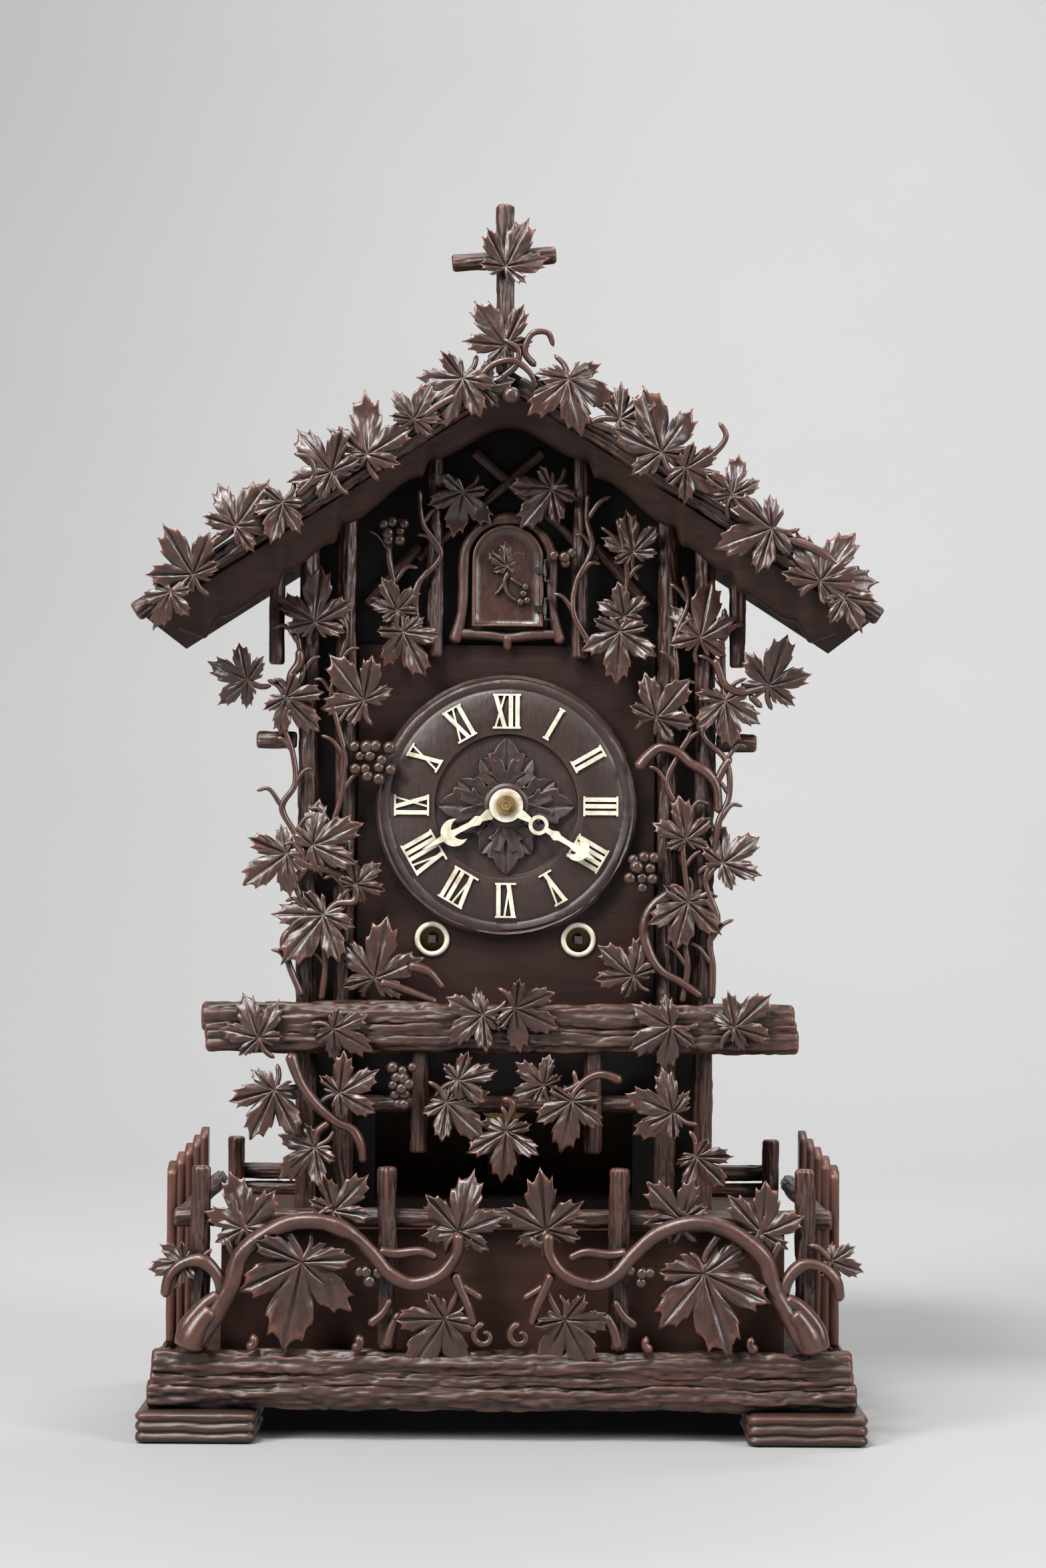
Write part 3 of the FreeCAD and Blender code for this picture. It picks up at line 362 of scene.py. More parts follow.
def branch(shape, points, thick, thin, seed):
    """Tapering, slightly knotted vine through points, smoothed by a Catmull-Rom curve, in millimetres."""
    pts = [Vector(p) for p in points]
    ext = [pts[0] * 2 - pts[1]] + pts + [pts[-1] * 2 - pts[-2]]
    path = []
    for i in range(1, len(ext) - 2):
        p0, p1, p2, p3 = ext[i - 1], ext[i], ext[i + 1], ext[i + 2]
        count = max(3, int((p2 - p1).length / 0.8))
        for j in range(count):
            t = j / count
            path.append(0.5 * ((2 * p1) + (p2 - p0) * t + (2 * p0 - 5 * p1 + 4 * p2 - p3) * t * t
                               + (3 * p1 - p0 - 3 * p2 + p3) * t ** 3))
    path.append(pts[-1])
    verts = []
    total = len(path)
    for j, c in enumerate(path):
        d = path[min(j + 1, total - 1)] - path[max(j - 1, 0)]
        d, u, v = axes_for(d)
        f = j / (total - 1)
        ends = min(1.0, math.sqrt(max(0.0, min(j, total - 1 - j)) / 2.2 + 0.02))
        knot = 0.20 * max(0.0, lumps(seed, j * 0.055, 3)) * 2
        base = (thick + (thin - thick) * f) * ends * (0.92 + knot)
        for i in range(BRANCH_SIDES):
            t = 2 * math.pi * i / BRANCH_SIDES
            cut = bark(t, 1.6, j * 0.05 + seed)
            verts.append(c + (u * math.cos(t) + v * math.sin(t)) * base * (1 + 0.13 * cut))
    shape.add(verts, tube_faces(total - 1, BRANCH_SIDES, True))


# vine leaf: lobes are (direction in degrees, length, half of the sector in degrees)
LOBES = [(-109, 0.60, 26), (-56, 0.88, 27), (0, 1.06, 29), (56, 0.88, 27), (109, 0.60, 26)]
# half of one lobe's toothed rim: (part of the half sector, radius)
LOBE_RIM = [(0.0, 1.0), (0.06, 0.93), (0.14, 0.87), (0.24, 0.82), (0.35, 0.81), (0.46, 0.865), (0.53, 0.75),
            (0.60, 0.70), (0.68, 0.67), (0.76, 0.68), (0.84, 0.60), (0.92, 0.51), (1.0, 0.43)]
STALK_NOTCH = [(140, 0.36), (150, 0.30), (161, 0.14), (180, 0.07), (199, 0.14), (210, 0.30), (220, 0.36)]
LEAF_RINGS = 11


def leaf_rim(r):
    """Rim of a leaf once round: (angle, radius, offset in the lobe -1..1, half sector, curl of the tip)."""
    rim = []
    for turn, size, half in LOBES:
        size *= r.uniform(0.90, 1.06)
        lean = r.uniform(-6, 6)
        roll = r.uniform(-0.42, 0.40)
        offsets = [(-u, radius) for u, radius in reversed(LOBE_RIM[1:])] + LOBE_RIM
        for u, radius in offsets:
            angle = turn + u * half + lean * (1 - u * u)
            rim.append((angle, size * radius * r.uniform(0.97, 1.03), u, half, roll))
    return rim + [(angle, radius, 1.0, 25, 0.0) for angle, radius in STALK_NOTCH]


def carved_leaf(shape, x, z, angle, reach, y_back, seed, depth):
    """Vine leaf in one skin: toothed lobes, cut midribs, swelling panels, tips curled in or out."""
    r = random.Random(seed)
    slope_u, slope_v = r.uniform(-0.12, 0.12), r.uniform(-0.24, 0.24)
    c, s = math.cos(math.radians(angle)), math.sin(math.radians(angle))
    rim = leaf_rim(r)
    verts = []
    for layer in (0, 1):
        for k in range(LEAF_RINGS + 1):
            t = 0.02 + 0.98 * k / LEAF_RINGS
            for turn, radius, u, half, roll in rim:
                out = t * radius * reach
                px, pz = out * math.cos(math.radians(turn)), out * math.sin(math.radians(turn))
                beside = out * math.sin(math.radians(abs(u) * half))
                panel = 0.046 * reach * math.sin(math.pi * abs(u) ** 0.7) * t ** 0.8 * (1 - 0.3 * t)
                midrib = -0.8 * math.exp(-(beside / 0.5) ** 2) * (1 - 0.5 * t)
                veins = 0.16 * math.sin((out - 1.5 * beside) * 1.25) * min(1.0, beside / 1.5)
                tip = roll * reach * 0.42 * t * t * (1 - u * u)
                wave = 1.5 * t * lumps(px * 0.10 + seed, pz * 0.10, 0.5)
                h = depth * (1 - 0.22 * t) + panel + midrib + veins + tip + wave
                h += slope_u * px + slope_v * pz
                if layer == 1:
                    h -= 1.0 + 1.3 * (1 - t)
                h = max(h, 0.05 + 0.3 * (layer == 0))
                verts.append((x + px * c - pz * s, y_back - h, z + px * s + pz * c))
    count = len(rim)
    back = (LEAF_RINGS + 1) * count
    faces = [tuple(range(count)), tuple(back + i for i in reversed(range(count)))]
    for i in range(count):
        j = (i + 1) % count
        for k in range(LEAF_RINGS):
            a, b = k * count, (k + 1) * count
            faces.append((a + i, b + i, b + j, a + j))
            faces.append((back + a + i, back + a + j, back + b + j, back + b + i))
        a = LEAF_RINGS * count
        faces.append((a + i, back + a + i, back + a + j, a + j))
    shape.add(verts, faces)


def berry(shape, centre, radius):
    """Round berry with a dent in front, in the second material."""
    rings, sides = 10, 16
    verts = []
    for j in range(rings + 1):
        phi = math.pi * j / rings
        for i in range(sides):
            t = 2 * math.pi * i / sides
            dent = 1 - 0.18 * math.exp(-(phi / 0.35) ** 2)
            way = Vector((math.sin(phi) * math.cos(t), -math.cos(phi) * dent, math.sin(phi) * math.sin(t)))
            verts.append(Vector(centre) + way * radius)
    shape.add(verts, tube_faces(rings, sides), 1)


def grapes(shape, x, z, y, columns, rows, size, seed):
    """Hanging bunch of round berries, heaped towards its middle."""
    r = random.Random(seed)
    for row in range(rows):
        count = max(1, columns - row % 2 - max(0, row - rows + 2))
        for i in range(count):
            px = x + (i - (count - 1) / 2.0) * size * 1.6 + r.uniform(-1.0, 1.0)
            berry(shape, (px, y + r.uniform(-1.4, 0.6), z - row * size * 1.5 + r.uniform(-1.0, 1.0)),
                  size * r.uniform(0.85, 1.1))


# ---------------------------------------------------------------- foliage placement, as in the CAD frame
ROOF_LEAVES = [
    (-142, 388, 125, 20), (-123, 410, 60, 21), (-80, 435, 135, 21), (-64, 443, 92, 23),
    (-21, 478, 240, 22), (-2, 493, 120, 19), (27, 478, 280, 23), (69, 445, 105, 26),
    (80, 438, -30, 17), (119, 411, 200, 24), (141, 387, 60, 25), (-152, 380, 250, 15), (-102, 421, 250, 15),
    (-43, 459, 70, 16), (-13, 474, 10, 13), (50, 460, 30, 16), (101, 426, 80, 15), (152, 380, 300, 14)]
FINIAL_LEAF = (-2, 530, 65, 23)
GABLE_LEAVES = [(-21, 431, 255, 20), (20, 433, 230, 21), (-51, 376, 110, 16),
                (-48, 366, 291, 20.5), (54, 374, 100, 15), (52, 367, 265, 22), (58, 404, 100, 18)]
COLUMN_LEAVES = [
    (-89, 370, 88, 24), (-120, 343, 160, 20), (-102, 335, -45, 20), (-66, 334, 130, 23),
    (-101, 263, 215, 22), (-89, 267, 30, 23), (-84, 235, 235, 26), (-60, 206, 80, 26), (-69, 249, 45, 15),
    (89, 364, 80, 24), (121, 342, 75, 23), (101, 335, 275, 22), (69, 327, 50, 22), (83, 271, 95, 18),
    (100, 260, 40, 21), (84, 242, 260, 23), (59, 208, 135, 21)]
LEDGE_LEAVES = [(-112, 179, 115, 20), (-78, 183, -35, 18), (-10, 190, 215, 20), (5, 193, -30, 22),
                (76, 185, 210, 23), (105, 185, 45, 19)]
SCREEN_LEAVES = [(-105, 155, 245, 24), (-75, 154, 25, 20), (-86, 129, 220, 20), (-21, 160, 20, 17),
                 (-26, 150, -45, 21), (18, 158, 140, 16), (31, 151, 260, 21), (1, 137, 265, 21),
                 (77, 146, 160, 22), (88, 126, -50, 18)]
FENCE_LEAVES = [(-116, 95, 100, 23), (-76, 103, 45, 20), (-20, 94, 80, 25), (-90, 80, 258, 36),
                (-26, 55, 235, 25), (-143, 80, 200, 14),
                (116, 94, 80, 23), (80, 100, 135, 20), (19, 95, 100, 25), (90, 76, 282, 36),
                (28, 55, 300, 25), (147, 82, -20, 14)]
FENCE_VINES = [
    (4.6, 2.9, [(-138, 42), (-130, 54), (-121, 70), (-117, 83), (-106, 93), (-93, 98), (-80, 98),
                (-68, 93), (-58, 84), (-50, 75), (-40, 71), (-28, 75), (-21, 84), (-20, 94)]),
    (3.3, 2.4, [(-124, 62), (-127, 73), (-134, 80), (-143, 79), (-149, 73), (-151, 64)]),
    (2.0, 1.4, [(-97, 94), (-91, 85), (-90, 80)]),
    (2.8, 2.1, [(-22, 76), (-18, 67), (-15, 60), (-13, 52)]),
    (2.2, 1.8, [(-19, 70), (-9, 64)]),
    (2.7, 2.0, [(-56, 85), (-48, 84), (-37, 85), (-29, 82)]),
    (1.8, 1.4, [(-26, 56), (-21, 65), (-20, 72)]),
    (2.6, 1.9, [(-52, 42), (-50, 50), (-46, 58)]),
    (2.2, 1.5, [(-60, 52), (-54, 57), (-50, 64)]),
    (1.8, 1.3, [(-112, 88), (-116, 97), (-118, 103)]),
    (2.0, 1.4, [(-86, 98), (-80, 103), (-76, 106)]),
    (6.4, 4.2, [(-140, 41), (-138, 47), (-134, 54), (-129, 60)]),
    (5.0, 2.8, [(-142, 42), (-140, 52), (-133, 61), (-126, 66)]),
    (2.6, 1.8, [(-114, 41), (-111, 44), (-111.5, 48)]),
    (2.6, 1.8, [(-67, 41), (-64, 44), (-64.5, 48)]),
    (2.4, 1.9, [(-122, 68), (-114, 68), (-108, 69)]),
    (2.0, 1.6, [(-119, 80), (-122, 86), (-124, 91)]),
    (2.2, 1.7, [(-20, 88), (-15, 89), (-12, 92)])]
COLUMN_VINES = [
    (2.2, 1.8, [(-99, 261), (-90, 257), (-80, 255), (-73, 252), (-69, 247), (-70, 241), (-78, 240),
                (-84, 234)]),
    (2.2, 1.6, [(-96, 358), (-96, 351), (-100, 345), (-101, 337)]),
    (2.4, 1.6, [(-45, 212), (-35, 209), (-28, 201)]),
    (2.6, 1.8, [(-58, 204), (-50, 202), (-31, 195)]),
    (2.8, 2.2, [(60, 303), (65, 309), (71, 313), (79, 311), (85, 306), (92, 302), (97, 295), (98, 283)]),
    (2.0, 1.6, [(97, 297), (101, 305), (104, 309)]),
    (2.4, 1.6, [(96, 355), (98, 349), (101, 342), (108, 339), (114, 340), (121, 342)]),
    (1.8, 1.4, [(112, 338), (118, 332)]),
    (2.8, 2.0, [(80, 248), (68, 240), (64, 230), (66, 219), (72, 210), (81, 205), (91, 198)])]
SCREEN_VINES = [
    (2.8, 2.0, [(-98, 172), (-93, 159), (-86, 149), (-77, 141), (-69, 137), (-65, 130), (-64, 122)]),
    (2.0, 1.6, [(-79, 141), (-85, 136), (-86, 129)]),
    (2.4, 1.6, [(54, 160), (45, 163), (38, 161), (32, 155), (31, 151)]),
    (1.8, 1.4, [(36, 160), (29, 156), (20, 155)]),
    (1.8, 1.4, [(-1, 152), (4, 149), (1, 139)])]
ROOF_VINE = [(-160, 384), (-142, 398), (-118, 412), (-96, 424), (-76, 436), (-54, 450), (-32, 464),
             (-10, 478)]

ROOF_HOOKS = [[(-16, -99, 474), (-9, -102, 483), (1, -102, 486), (9, -101, 481), (13, -99, 473)],
              [(12, -98, 484), (7, -101, 490), (10, -102, 498), (17, -101, 499), (20, -99, 493)],
              [(-4, -99, 478), (3, -101, 484), (4, -102, 491), (-3, -101, 496)],
              [(80, -98, 436), (92, -100, 444), (98, -101, 452), (95, -101, 459)],
              [(-96, -98, 424), (-88, -100, 433), (-90, -101, 441), (-97, -101, 443)]]


# faces that the foliage is carved on
COLUMN_Y, GABLE_Y, LEDGE_Y, FENCE_Y, ROOF_Y = -63.3, -61.4, -74.0, -97.0, -97.3


def leaves(shape, places, y_back, seed, depth, scale=1.08):
    """Leaves lying on the plane y_back, each with a short stalk at a random angle."""
    for i, (x, z, angle, reach) in enumerate(places):
        carved_leaf(shape, x, z, angle, reach * scale, y_back, seed + i, depth)
        away = math.radians(angle + 180 + rng.uniform(-25, 25))
        far = 11.0 + 3 * rng.random()
        side = math.radians(angle + 90)
        middle = (x + far * 0.55 * math.cos(away) + 1.5 * math.cos(side), y_back - 1.6,
                  z + far * 0.55 * math.sin(away) + 1.5 * math.sin(side))
        tip = (x + far * math.cos(away), y_back - 0.6, z + far * math.sin(away))
        branch(shape, [(x, y_back - 2.6, z), middle, tip], 1.5, 1.2, seed + i)


def vines(shape, runs, y_back, seed):
    for i, (thick, thin, points) in enumerate(runs):
        branch(shape, [(px, y_back - thick - 0.1, pz) for px, pz in points], thick, thin, seed + i)


def tangle(shape, x, z0, z1, y, seed):
    """Thin stem winding upwards from z0 to z1, with short side shoots."""
    r = random.Random(seed)
    stem = []
    z = z0
    while z < z1:
        stem.append((x + r.uniform(-6.5, 6.5), y - r.uniform(0.0, 1.6), z))
        z += r.uniform(11, 17)
    branch(shape, stem, 1.7, 1.3, seed)
    for k, (px, py, pz) in enumerate(stem[1:-1]):
        side = 1 if k % 2 else -1
        reach = r.uniform(7, 12)
        branch(shape, [(px, py + 0.4, pz), (px + side * reach * 0.5, py - 0.6, pz + reach * 0.7),
                       (px + side * reach, py - 0.2, pz + reach * r.uniform(0.6, 1.1))], 1.3, 0.9, seed + k)


def build(shape, name, material, node, body="case"):
    """Makes the shape an object in place of a CAD node."""
    materials = material if isinstance(material, list) else [material]
    obj = new_object(name, shape, materials, body)
    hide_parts(node)
    return obj


def make_foliage():
    s = Shape()
    leaves(s, COLUMN_LEAVES, COLUMN_Y, 100, 4.5)
    vines(s, COLUMN_VINES, COLUMN_Y, 150)
    for i, (x, z0, z1) in enumerate(((-97, 197, 380), (-79, 195, 395), (97, 197, 380), (79, 195, 395))):
        tangle(s, x, z0, z1, -64.6, 170 + 20 * i)
    grapes(s, -62, 312, -66.8, 4, 4, 3.1, 1)
    grapes(s, 63, 262, -66.8, 3, 4, 3.1, 2)
    build(s, "carved_column_vines", [LEAF, BERRY], "column_foliage")
    s = Shape()
    leaves(s, GABLE_LEAVES, GABLE_Y, 200, 3.8)
    for i, (x, z0, z1) in enumerate(((-37, 362, 438), (-55, 362, 428), (37, 362, 438), (55, 362, 428))):
        tangle(s, x, z0, z1, -61.8, 250 + 20 * i)
    grapes(s, 26, 402, -65.0, 3, 2, 2.6, 3)
    grapes(s, -53, 416, -65.0, 3, 3, 2.6, 4)
    build(s, "carved_gable_vines", [LEAF, BERRY], "gable_foliage")
    s = Shape()
    leaves(s, LEDGE_LEAVES + SCREEN_LEAVES, LEDGE_Y, 300, 4.0)
    vines(s, SCREEN_VINES, LEDGE_Y, 350)
    grapes(s, -47, 165, -77.4, 3, 5, 2.6, 5)
    build(s, "carved_ledge_vines", [LEAF, BERRY], "ledge_foliage")
    s = Shape()
    leaves(s, FENCE_LEAVES, FENCE_Y, 400, 3.2)
    vines(s, FENCE_VINES, FENCE_Y, 450)
    mirrored = [(a, b, [(-x, z) for x, z in points]) for a, b, points in FENCE_VINES]
    vines(s, mirrored, FENCE_Y, 480)
    grapes(s, -60, 76, -100.2, 3, 2, 2.9, 6)
    grapes(s, 62, 77, -100.2, 3, 2, 2.9, 7)
    for side in (-1, 1):
        coil = []
        for t in range(0, 400, 30):
            turn = math.radians(t * side + 90)
            r = 5.6 - 0.012 * t
            coil.append((side * (8 + r * math.cos(turn)), -99.4 + 0.002 * t, 47.5 + r * math.sin(turn)))
        branch(s, coil, 1.9, 1.0, 500 + side)
    build(s, "carved_fence_vines", [LEAF, BERRY], "fence_foliage")
    s = Shape()
    leaves(s, ROOF_LEAVES, ROOF_Y, 600, 4.2, 1.2)
    carved_leaf(s, *FINIAL_LEAF, -92.6, 640, 4.0)
    for side, y, seed in ((1, -98.6, 650), (-1, -96.8, 651)):
        stem = [(side * x, y + side * 2.0 * (i % 2), z + side * 1.8 * (-1) ** i)
                for i, (x, z) in enumerate(ROOF_VINE)]
        branch(s, stem, 2.4, 1.8, seed)
    for i, hook in enumerate(ROOF_HOOKS):
        branch(s, hook, 1.8, 1.2, 660 + i)
    berry(s, (1, -101.0, 470), 4.2)
    build(s, "carved_roof_garland", [LEAF, BERRY], "roof_foliage")


def logs_object(name, node, runs, material, seed, gouge, knots, tall=1.0):
    s = Shape()
    for i, (a, b, r) in enumerate(runs):
        carved_log(s, a, b, r, seed + i, gouge, knots, tall)
    build(s, name, material, node)


PITCH = math.radians(32.9)
TAN = math.tan(PITCH)
RIDGE_Z, ROOF_T, ROOF_LEN = 486.0, 8.0, 201.5
UNDER_Z = RIDGE_Z - ROOF_T / math.cos(PITCH)


def make_logs():
    logs_object("carved_columns", "column_logs",
                [((x, -58, 92.3), (x, -58, UNDER_Z - (abs(x) + 5) * TAN - 1.5), 5.0)
                 for x in (-92, -74.8, 74.8, 92)], LOG_Z, 10, 0.22, 6)
    logs_object("carved_ledge", "ledge_logs",
                [((-139, -68.6, 188.4), (133, -68.6, 188.4), 5.2),
                 ((-137.5, -69.0, 183.2), (134, -69.0, 183.2), 4.2),
                 ((-137, -68.6, 178.2), (135, -68.6, 178.2), 4.9)], LOG_X, 20, 0.24, 5, 1.36)
    logs_object("carved_fence_posts", "fence_posts",
                [((x, -92.2, 40.2), (x, -92.2, 122), 4.75) for x in (-136, -52, 52, 136)],
                LOG_Z, 30, 0.22, 4)
    rails = [((-149, -82.7, 98), (149, -82.7, 98), 4.6)]
    rails += [((s * 145.6, -79, 98), (s * 145.6, 95, 98), 4.5) for s in (-1, 1)]
    rails += [((-140.5, 92, z), (140.5, 92, z), 4.4) for z in (93.5, 103)]
    rails += [((x, 83, 40.2), (x, 83, 121), 4.4) for x in (-136, 136)]
    logs_object("carved_fence_rails", "fence_rails", rails, LOG_X, 40, 0.16, 4)
    base = [((-157.5, y, 27.0), (157.5, y, 27.0), 4.6) for y in (-94.6, 94.6)]
    for z in (20.5, 33.5):
        reach = 159 if z < 30 else 157
        base += [((-reach, -94, z), (reach, -94, z), 6.0), ((-reach, 94, z), (reach, 94, z), 6.0)]
        base += [((x * 154, -87.9, z), (x * 154, 87.9, z), 3.9) for x in (-1, 1)]
    logs_object("carved_plinth_logs", "plinth_logs", base, LOG_X, 60, 0.24, 4, 1.24)
    pieces = []
    for s in (-1, 1):
        pieces.append(((s * 97.4, -58, 316), (s * 116, -58, 316), 4.2))
        pieces.append(((s * 107, -58, 351), (s * 107, -58, UNDER_Z - 111 * TAN - 1.5), 4.0))
        pieces.append(((s * 33.8, -57.2, 355), (s * 33.8, -57.2, UNDER_Z - 38 * TAN - 1.2), 4.0))
        pieces.append(((s * 42, -52, 401), (s * -16, -52, 452), 2.9))
        pieces.append(((s * 66, -52, 380), (s * 41, -52, 408), 2.9))
    pieces += [((x, -64.5, 126), (x, -64.5, 173.4), 4.2) for x in (-39, 41)]
    pieces.append(((-69.5, -56.0, 148), (69.5, -56.0, 148), 4.2))
    logs_object("carved_screen_logs", "screen_logs", pieces, LOG_Z, 80, 0.16, 2)
    drop = 4.8
    reach = 171.0 - drop * 0.4
    edges = [((s * 4.0, -92.2, RIDGE_Z - drop - 4.0 * TAN - 1),
              (s * reach, -92.2, RIDGE_Z - drop - reach * TAN), 4.8) for s in (-1, 1)]
    logs_object("carved_roof_edge", "roof_edge_logs", edges, LOG_X, 110, 0.30, 6)
    logs_object("carved_finial", "finial_cross",
                [((-2, -88, 482.0), (-2, -88, 560), 4.4), ((-26.5, -88, 533), (21, -88, 537.5), 4.1)],
                LOG_Z, 130, 0.18, 3)


def make_feet():
    s = Shape()
    for i, (sx, sy) in enumerate(((-1, -1), (1, -1), (-1, 1), (1, 1))):
        x0, x1 = sorted((sx * 109.5, sx * 163.5))
        y0, y1 = sorted((sy * 55.0, sy * 105.0))
        carved_foot(s, x0, x1, y0, y1, 14.0, 700 + i)
    build(s, "carved_feet", LOG_X, "feet")


def carved_foot(shape, x0, x1, y0, y1, height, seed):
    """Low block carved as three stacked rough logs: wavy ridges run round all its sides."""
    levels, corner = 26, 4.0
    outline = []
    for cx, cy, first in ((x1 - corner, y1 - corner, 0), (x0 + corner, y1 - corner, 90),
                          (x0 + corner, y0 + corner, 180), (x1 - corner, y0 + corner, 270)):
        for k in range(7):
            a = math.radians(first + 15 * k)
            outline.append((cx + corner * math.cos(a), cy + corner * math.sin(a), math.cos(a), math.sin(a)))
    ring = []
    for i, (px, py, nx, ny) in enumerate(outline):
        qx, qy, mx, my = outline[(i + 1) % len(outline)]
        parts = max(1, int(math.hypot(qx - px, qy - py) / 1.2))
        for j in range(parts):
            t = j / parts
            ring.append((px + (qx - px) * t, py + (qy - py) * t, nx + (mx - nx) * t, ny + (my - ny) * t))
    verts = []
    for j in range(levels + 1):
        z = height * j / levels
        for x, y, nx, ny in ring:
            wave = lumps(x * 0.05, y * 0.05, seed) * 1.6
            phase = math.pi * 3 * (z + wave * math.sin(math.pi * z / height)) / height
            inset = 1.5 * (1 - abs(math.sin(phase))) ** 1.4
            inset += 0.35 * abs(lumps(x * 0.12, y * 0.12, z * 1.1 + seed))
            inset += 1.6 * max(0.0, (z - height + 2.0) / 2.0) ** 2 + 0.8 * max(0.0, 1 - z / 1.2) ** 2
            verts.append((x - nx * inset, y - ny * inset, z))
    shape.add(verts, tube_faces(levels, len(ring), True))


def carved_plank(shape, x0, x1, y0, y1, z0, z1, seed):
    """Flat picket with hollowed faces, worn edges and a slanting cut top."""
    steps, cols = 40, 6
    outline = [(i / cols, 0) for i in range(cols + 1)] + [(1, 0.5)]
    outline += [(1 - i / cols, 1) for i in range(cols + 1)] + [(0, 0.5)]
    verts = []
    for j in range(steps + 1):
        t = j / steps
        for fy, fx in outline:
            y = y0 + (y1 - y0) * fy
            top = z1 - 4.0 * (1 - fy)
            z = z0 + (top - z0) * t
            cut = 0.35 * abs(lumps(y * 0.6, z * 0.04, seed))
            inset = cut + (0.4 if fy in (0, 1) and fx in (0, 1) else 0)
            x = x0 + inset if fx == 0 else (x1 - inset if fx == 1 else (x0 + x1) / 2)
            verts.append((x, y, z))
    shape.add(verts, tube_faces(steps, len(outline), True))


def make_pickets():
    s = Shape()
    for side in (-1, 1):
        for i, y in enumerate((-62, -26, 10, 46, 82)):
            a, b = sorted((side * 150.2, side * 154.4))
            carved_plank(s, a, b, y - 5, y + 5, 38.5, 121 + (y + 62) * 0.03, 900 + i + side)
    build(s, "carved_pickets", LOG_Z, "fence_pickets")


# ---------------------------------------------------------------- carried-over CAD nodes
def refine(node, material, bevel):
    """Keeps a CAD node, with a material and slightly worn edges."""
    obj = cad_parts[node]
    obj.data.materials.clear()
    obj.data.materials.append(material)
    if bevel:
        mod = obj.modifiers.new("worn_edges", "BEVEL")
        mod.width = bevel
        mod.segments = 2
        mod.limit_method = "ANGLE"
        mod.angle_limit = math.radians(35)
        mod.harden_normals = True


def make_roof():
    """Roof of overlapping hand-split boards on each side, in place of the two plain panels."""
    s = Shape()
    boards = 9
    for side in (-1, 1):
        for k in range(boards):
            roof_board(s, side, ROOF_LEN * k / boards, ROOF_LEN * (k + 1) / boards, 40 + k + side * 20)
    build(s, "roof_boards", ROOF_WOOD, "roof_panels")


def roof_board(shape, side, a, b, seed):
    """One board running front to back; its lower edge stands proud of the next one down."""
    ux, uz = math.cos(PITCH), -math.sin(PITCH)
    nx, nz = -uz, ux
    rows, cols = 70, 8
    verts = []
    profile = [(a + (b - a) * i / cols, "top") for i in range(cols + 1)]
    profile += [(b, "low"), (a, "low")]
    for j in range(rows + 1):
        y = -87.0 + 172.0 * j / rows
        for s_along, kind in profile:
            if kind == "top":
                t = (s_along - a) / (b - a)
                lift = -1.3 + 1.2 * t - 0.7 * max(0.0, (t - 0.93) / 0.07) ** 2
                lift -= 0.45 * abs(lumps(s_along * 0.35, y * 0.02, seed))
            else:
                lift = -ROOF_T + 0.02
            x = side * max(0.02, s_along * ux + lift * nx)
            verts.append((x, y, RIDGE_Z + s_along * uz + lift * nz))
    shape.add(verts, tube_faces(rows, len(profile), True))


def make_fascia():
    """Coved board under the roof's front edge: hollow face, rounded scalloped lower edge."""
    lower = [(0, 459), (36, 444), (40, 436), (76, 414), (80, 405), (102, 392), (106, 384), (131, 371),
             (139, 361)]

    def low_edge(x):
        x = abs(x)
        for (xa, za), (xb, zb) in zip(lower, lower[1:]):
            if xa <= x <= xb:
                t = (x - xa) / (xb - xa)
                return za + (zb - za) * (t * t * (3 - 2 * t))
        return 361 + (x - 139) * 0.35

    s = Shape()
    rows, cols = 16, 300
    verts = []
    for i in range(cols + 1):
        x = -150 + 300 * i / cols
        top = UNDER_Z - 1.5 - abs(x) * TAN
        low = min(low_edge(x), top - 1.0)
        for j in range(rows + 1):
            t = j / rows
            cove = 8.0 * (1 - t) ** 1.6 + 0.8 * math.sin(math.pi * t)
            chip = 0.3 * lumps(x * 0.12, t * 4, 3)
            edge = 1.0 * (1 - min(1, t * 8)) ** 2
            verts.append((x, -91 + cove + chip * 0.5 + edge + 0.4, low + (top - low) * t))
        for j in range(rows + 1):
            t = 1 - j / rows
            verts.append((x, -77.0 - (1.0 if t == 0 else 0), low + (top - low) * t))
    s.add(verts, tube_faces(cols, 2 * (rows + 1), True))
    build(s, "coved_fascia", BOARD_X, "gable_board")


DIAL_Z = 286.0
HUB_R = 4.6
WIND_X, WIND_Z = 34.0, 224.0


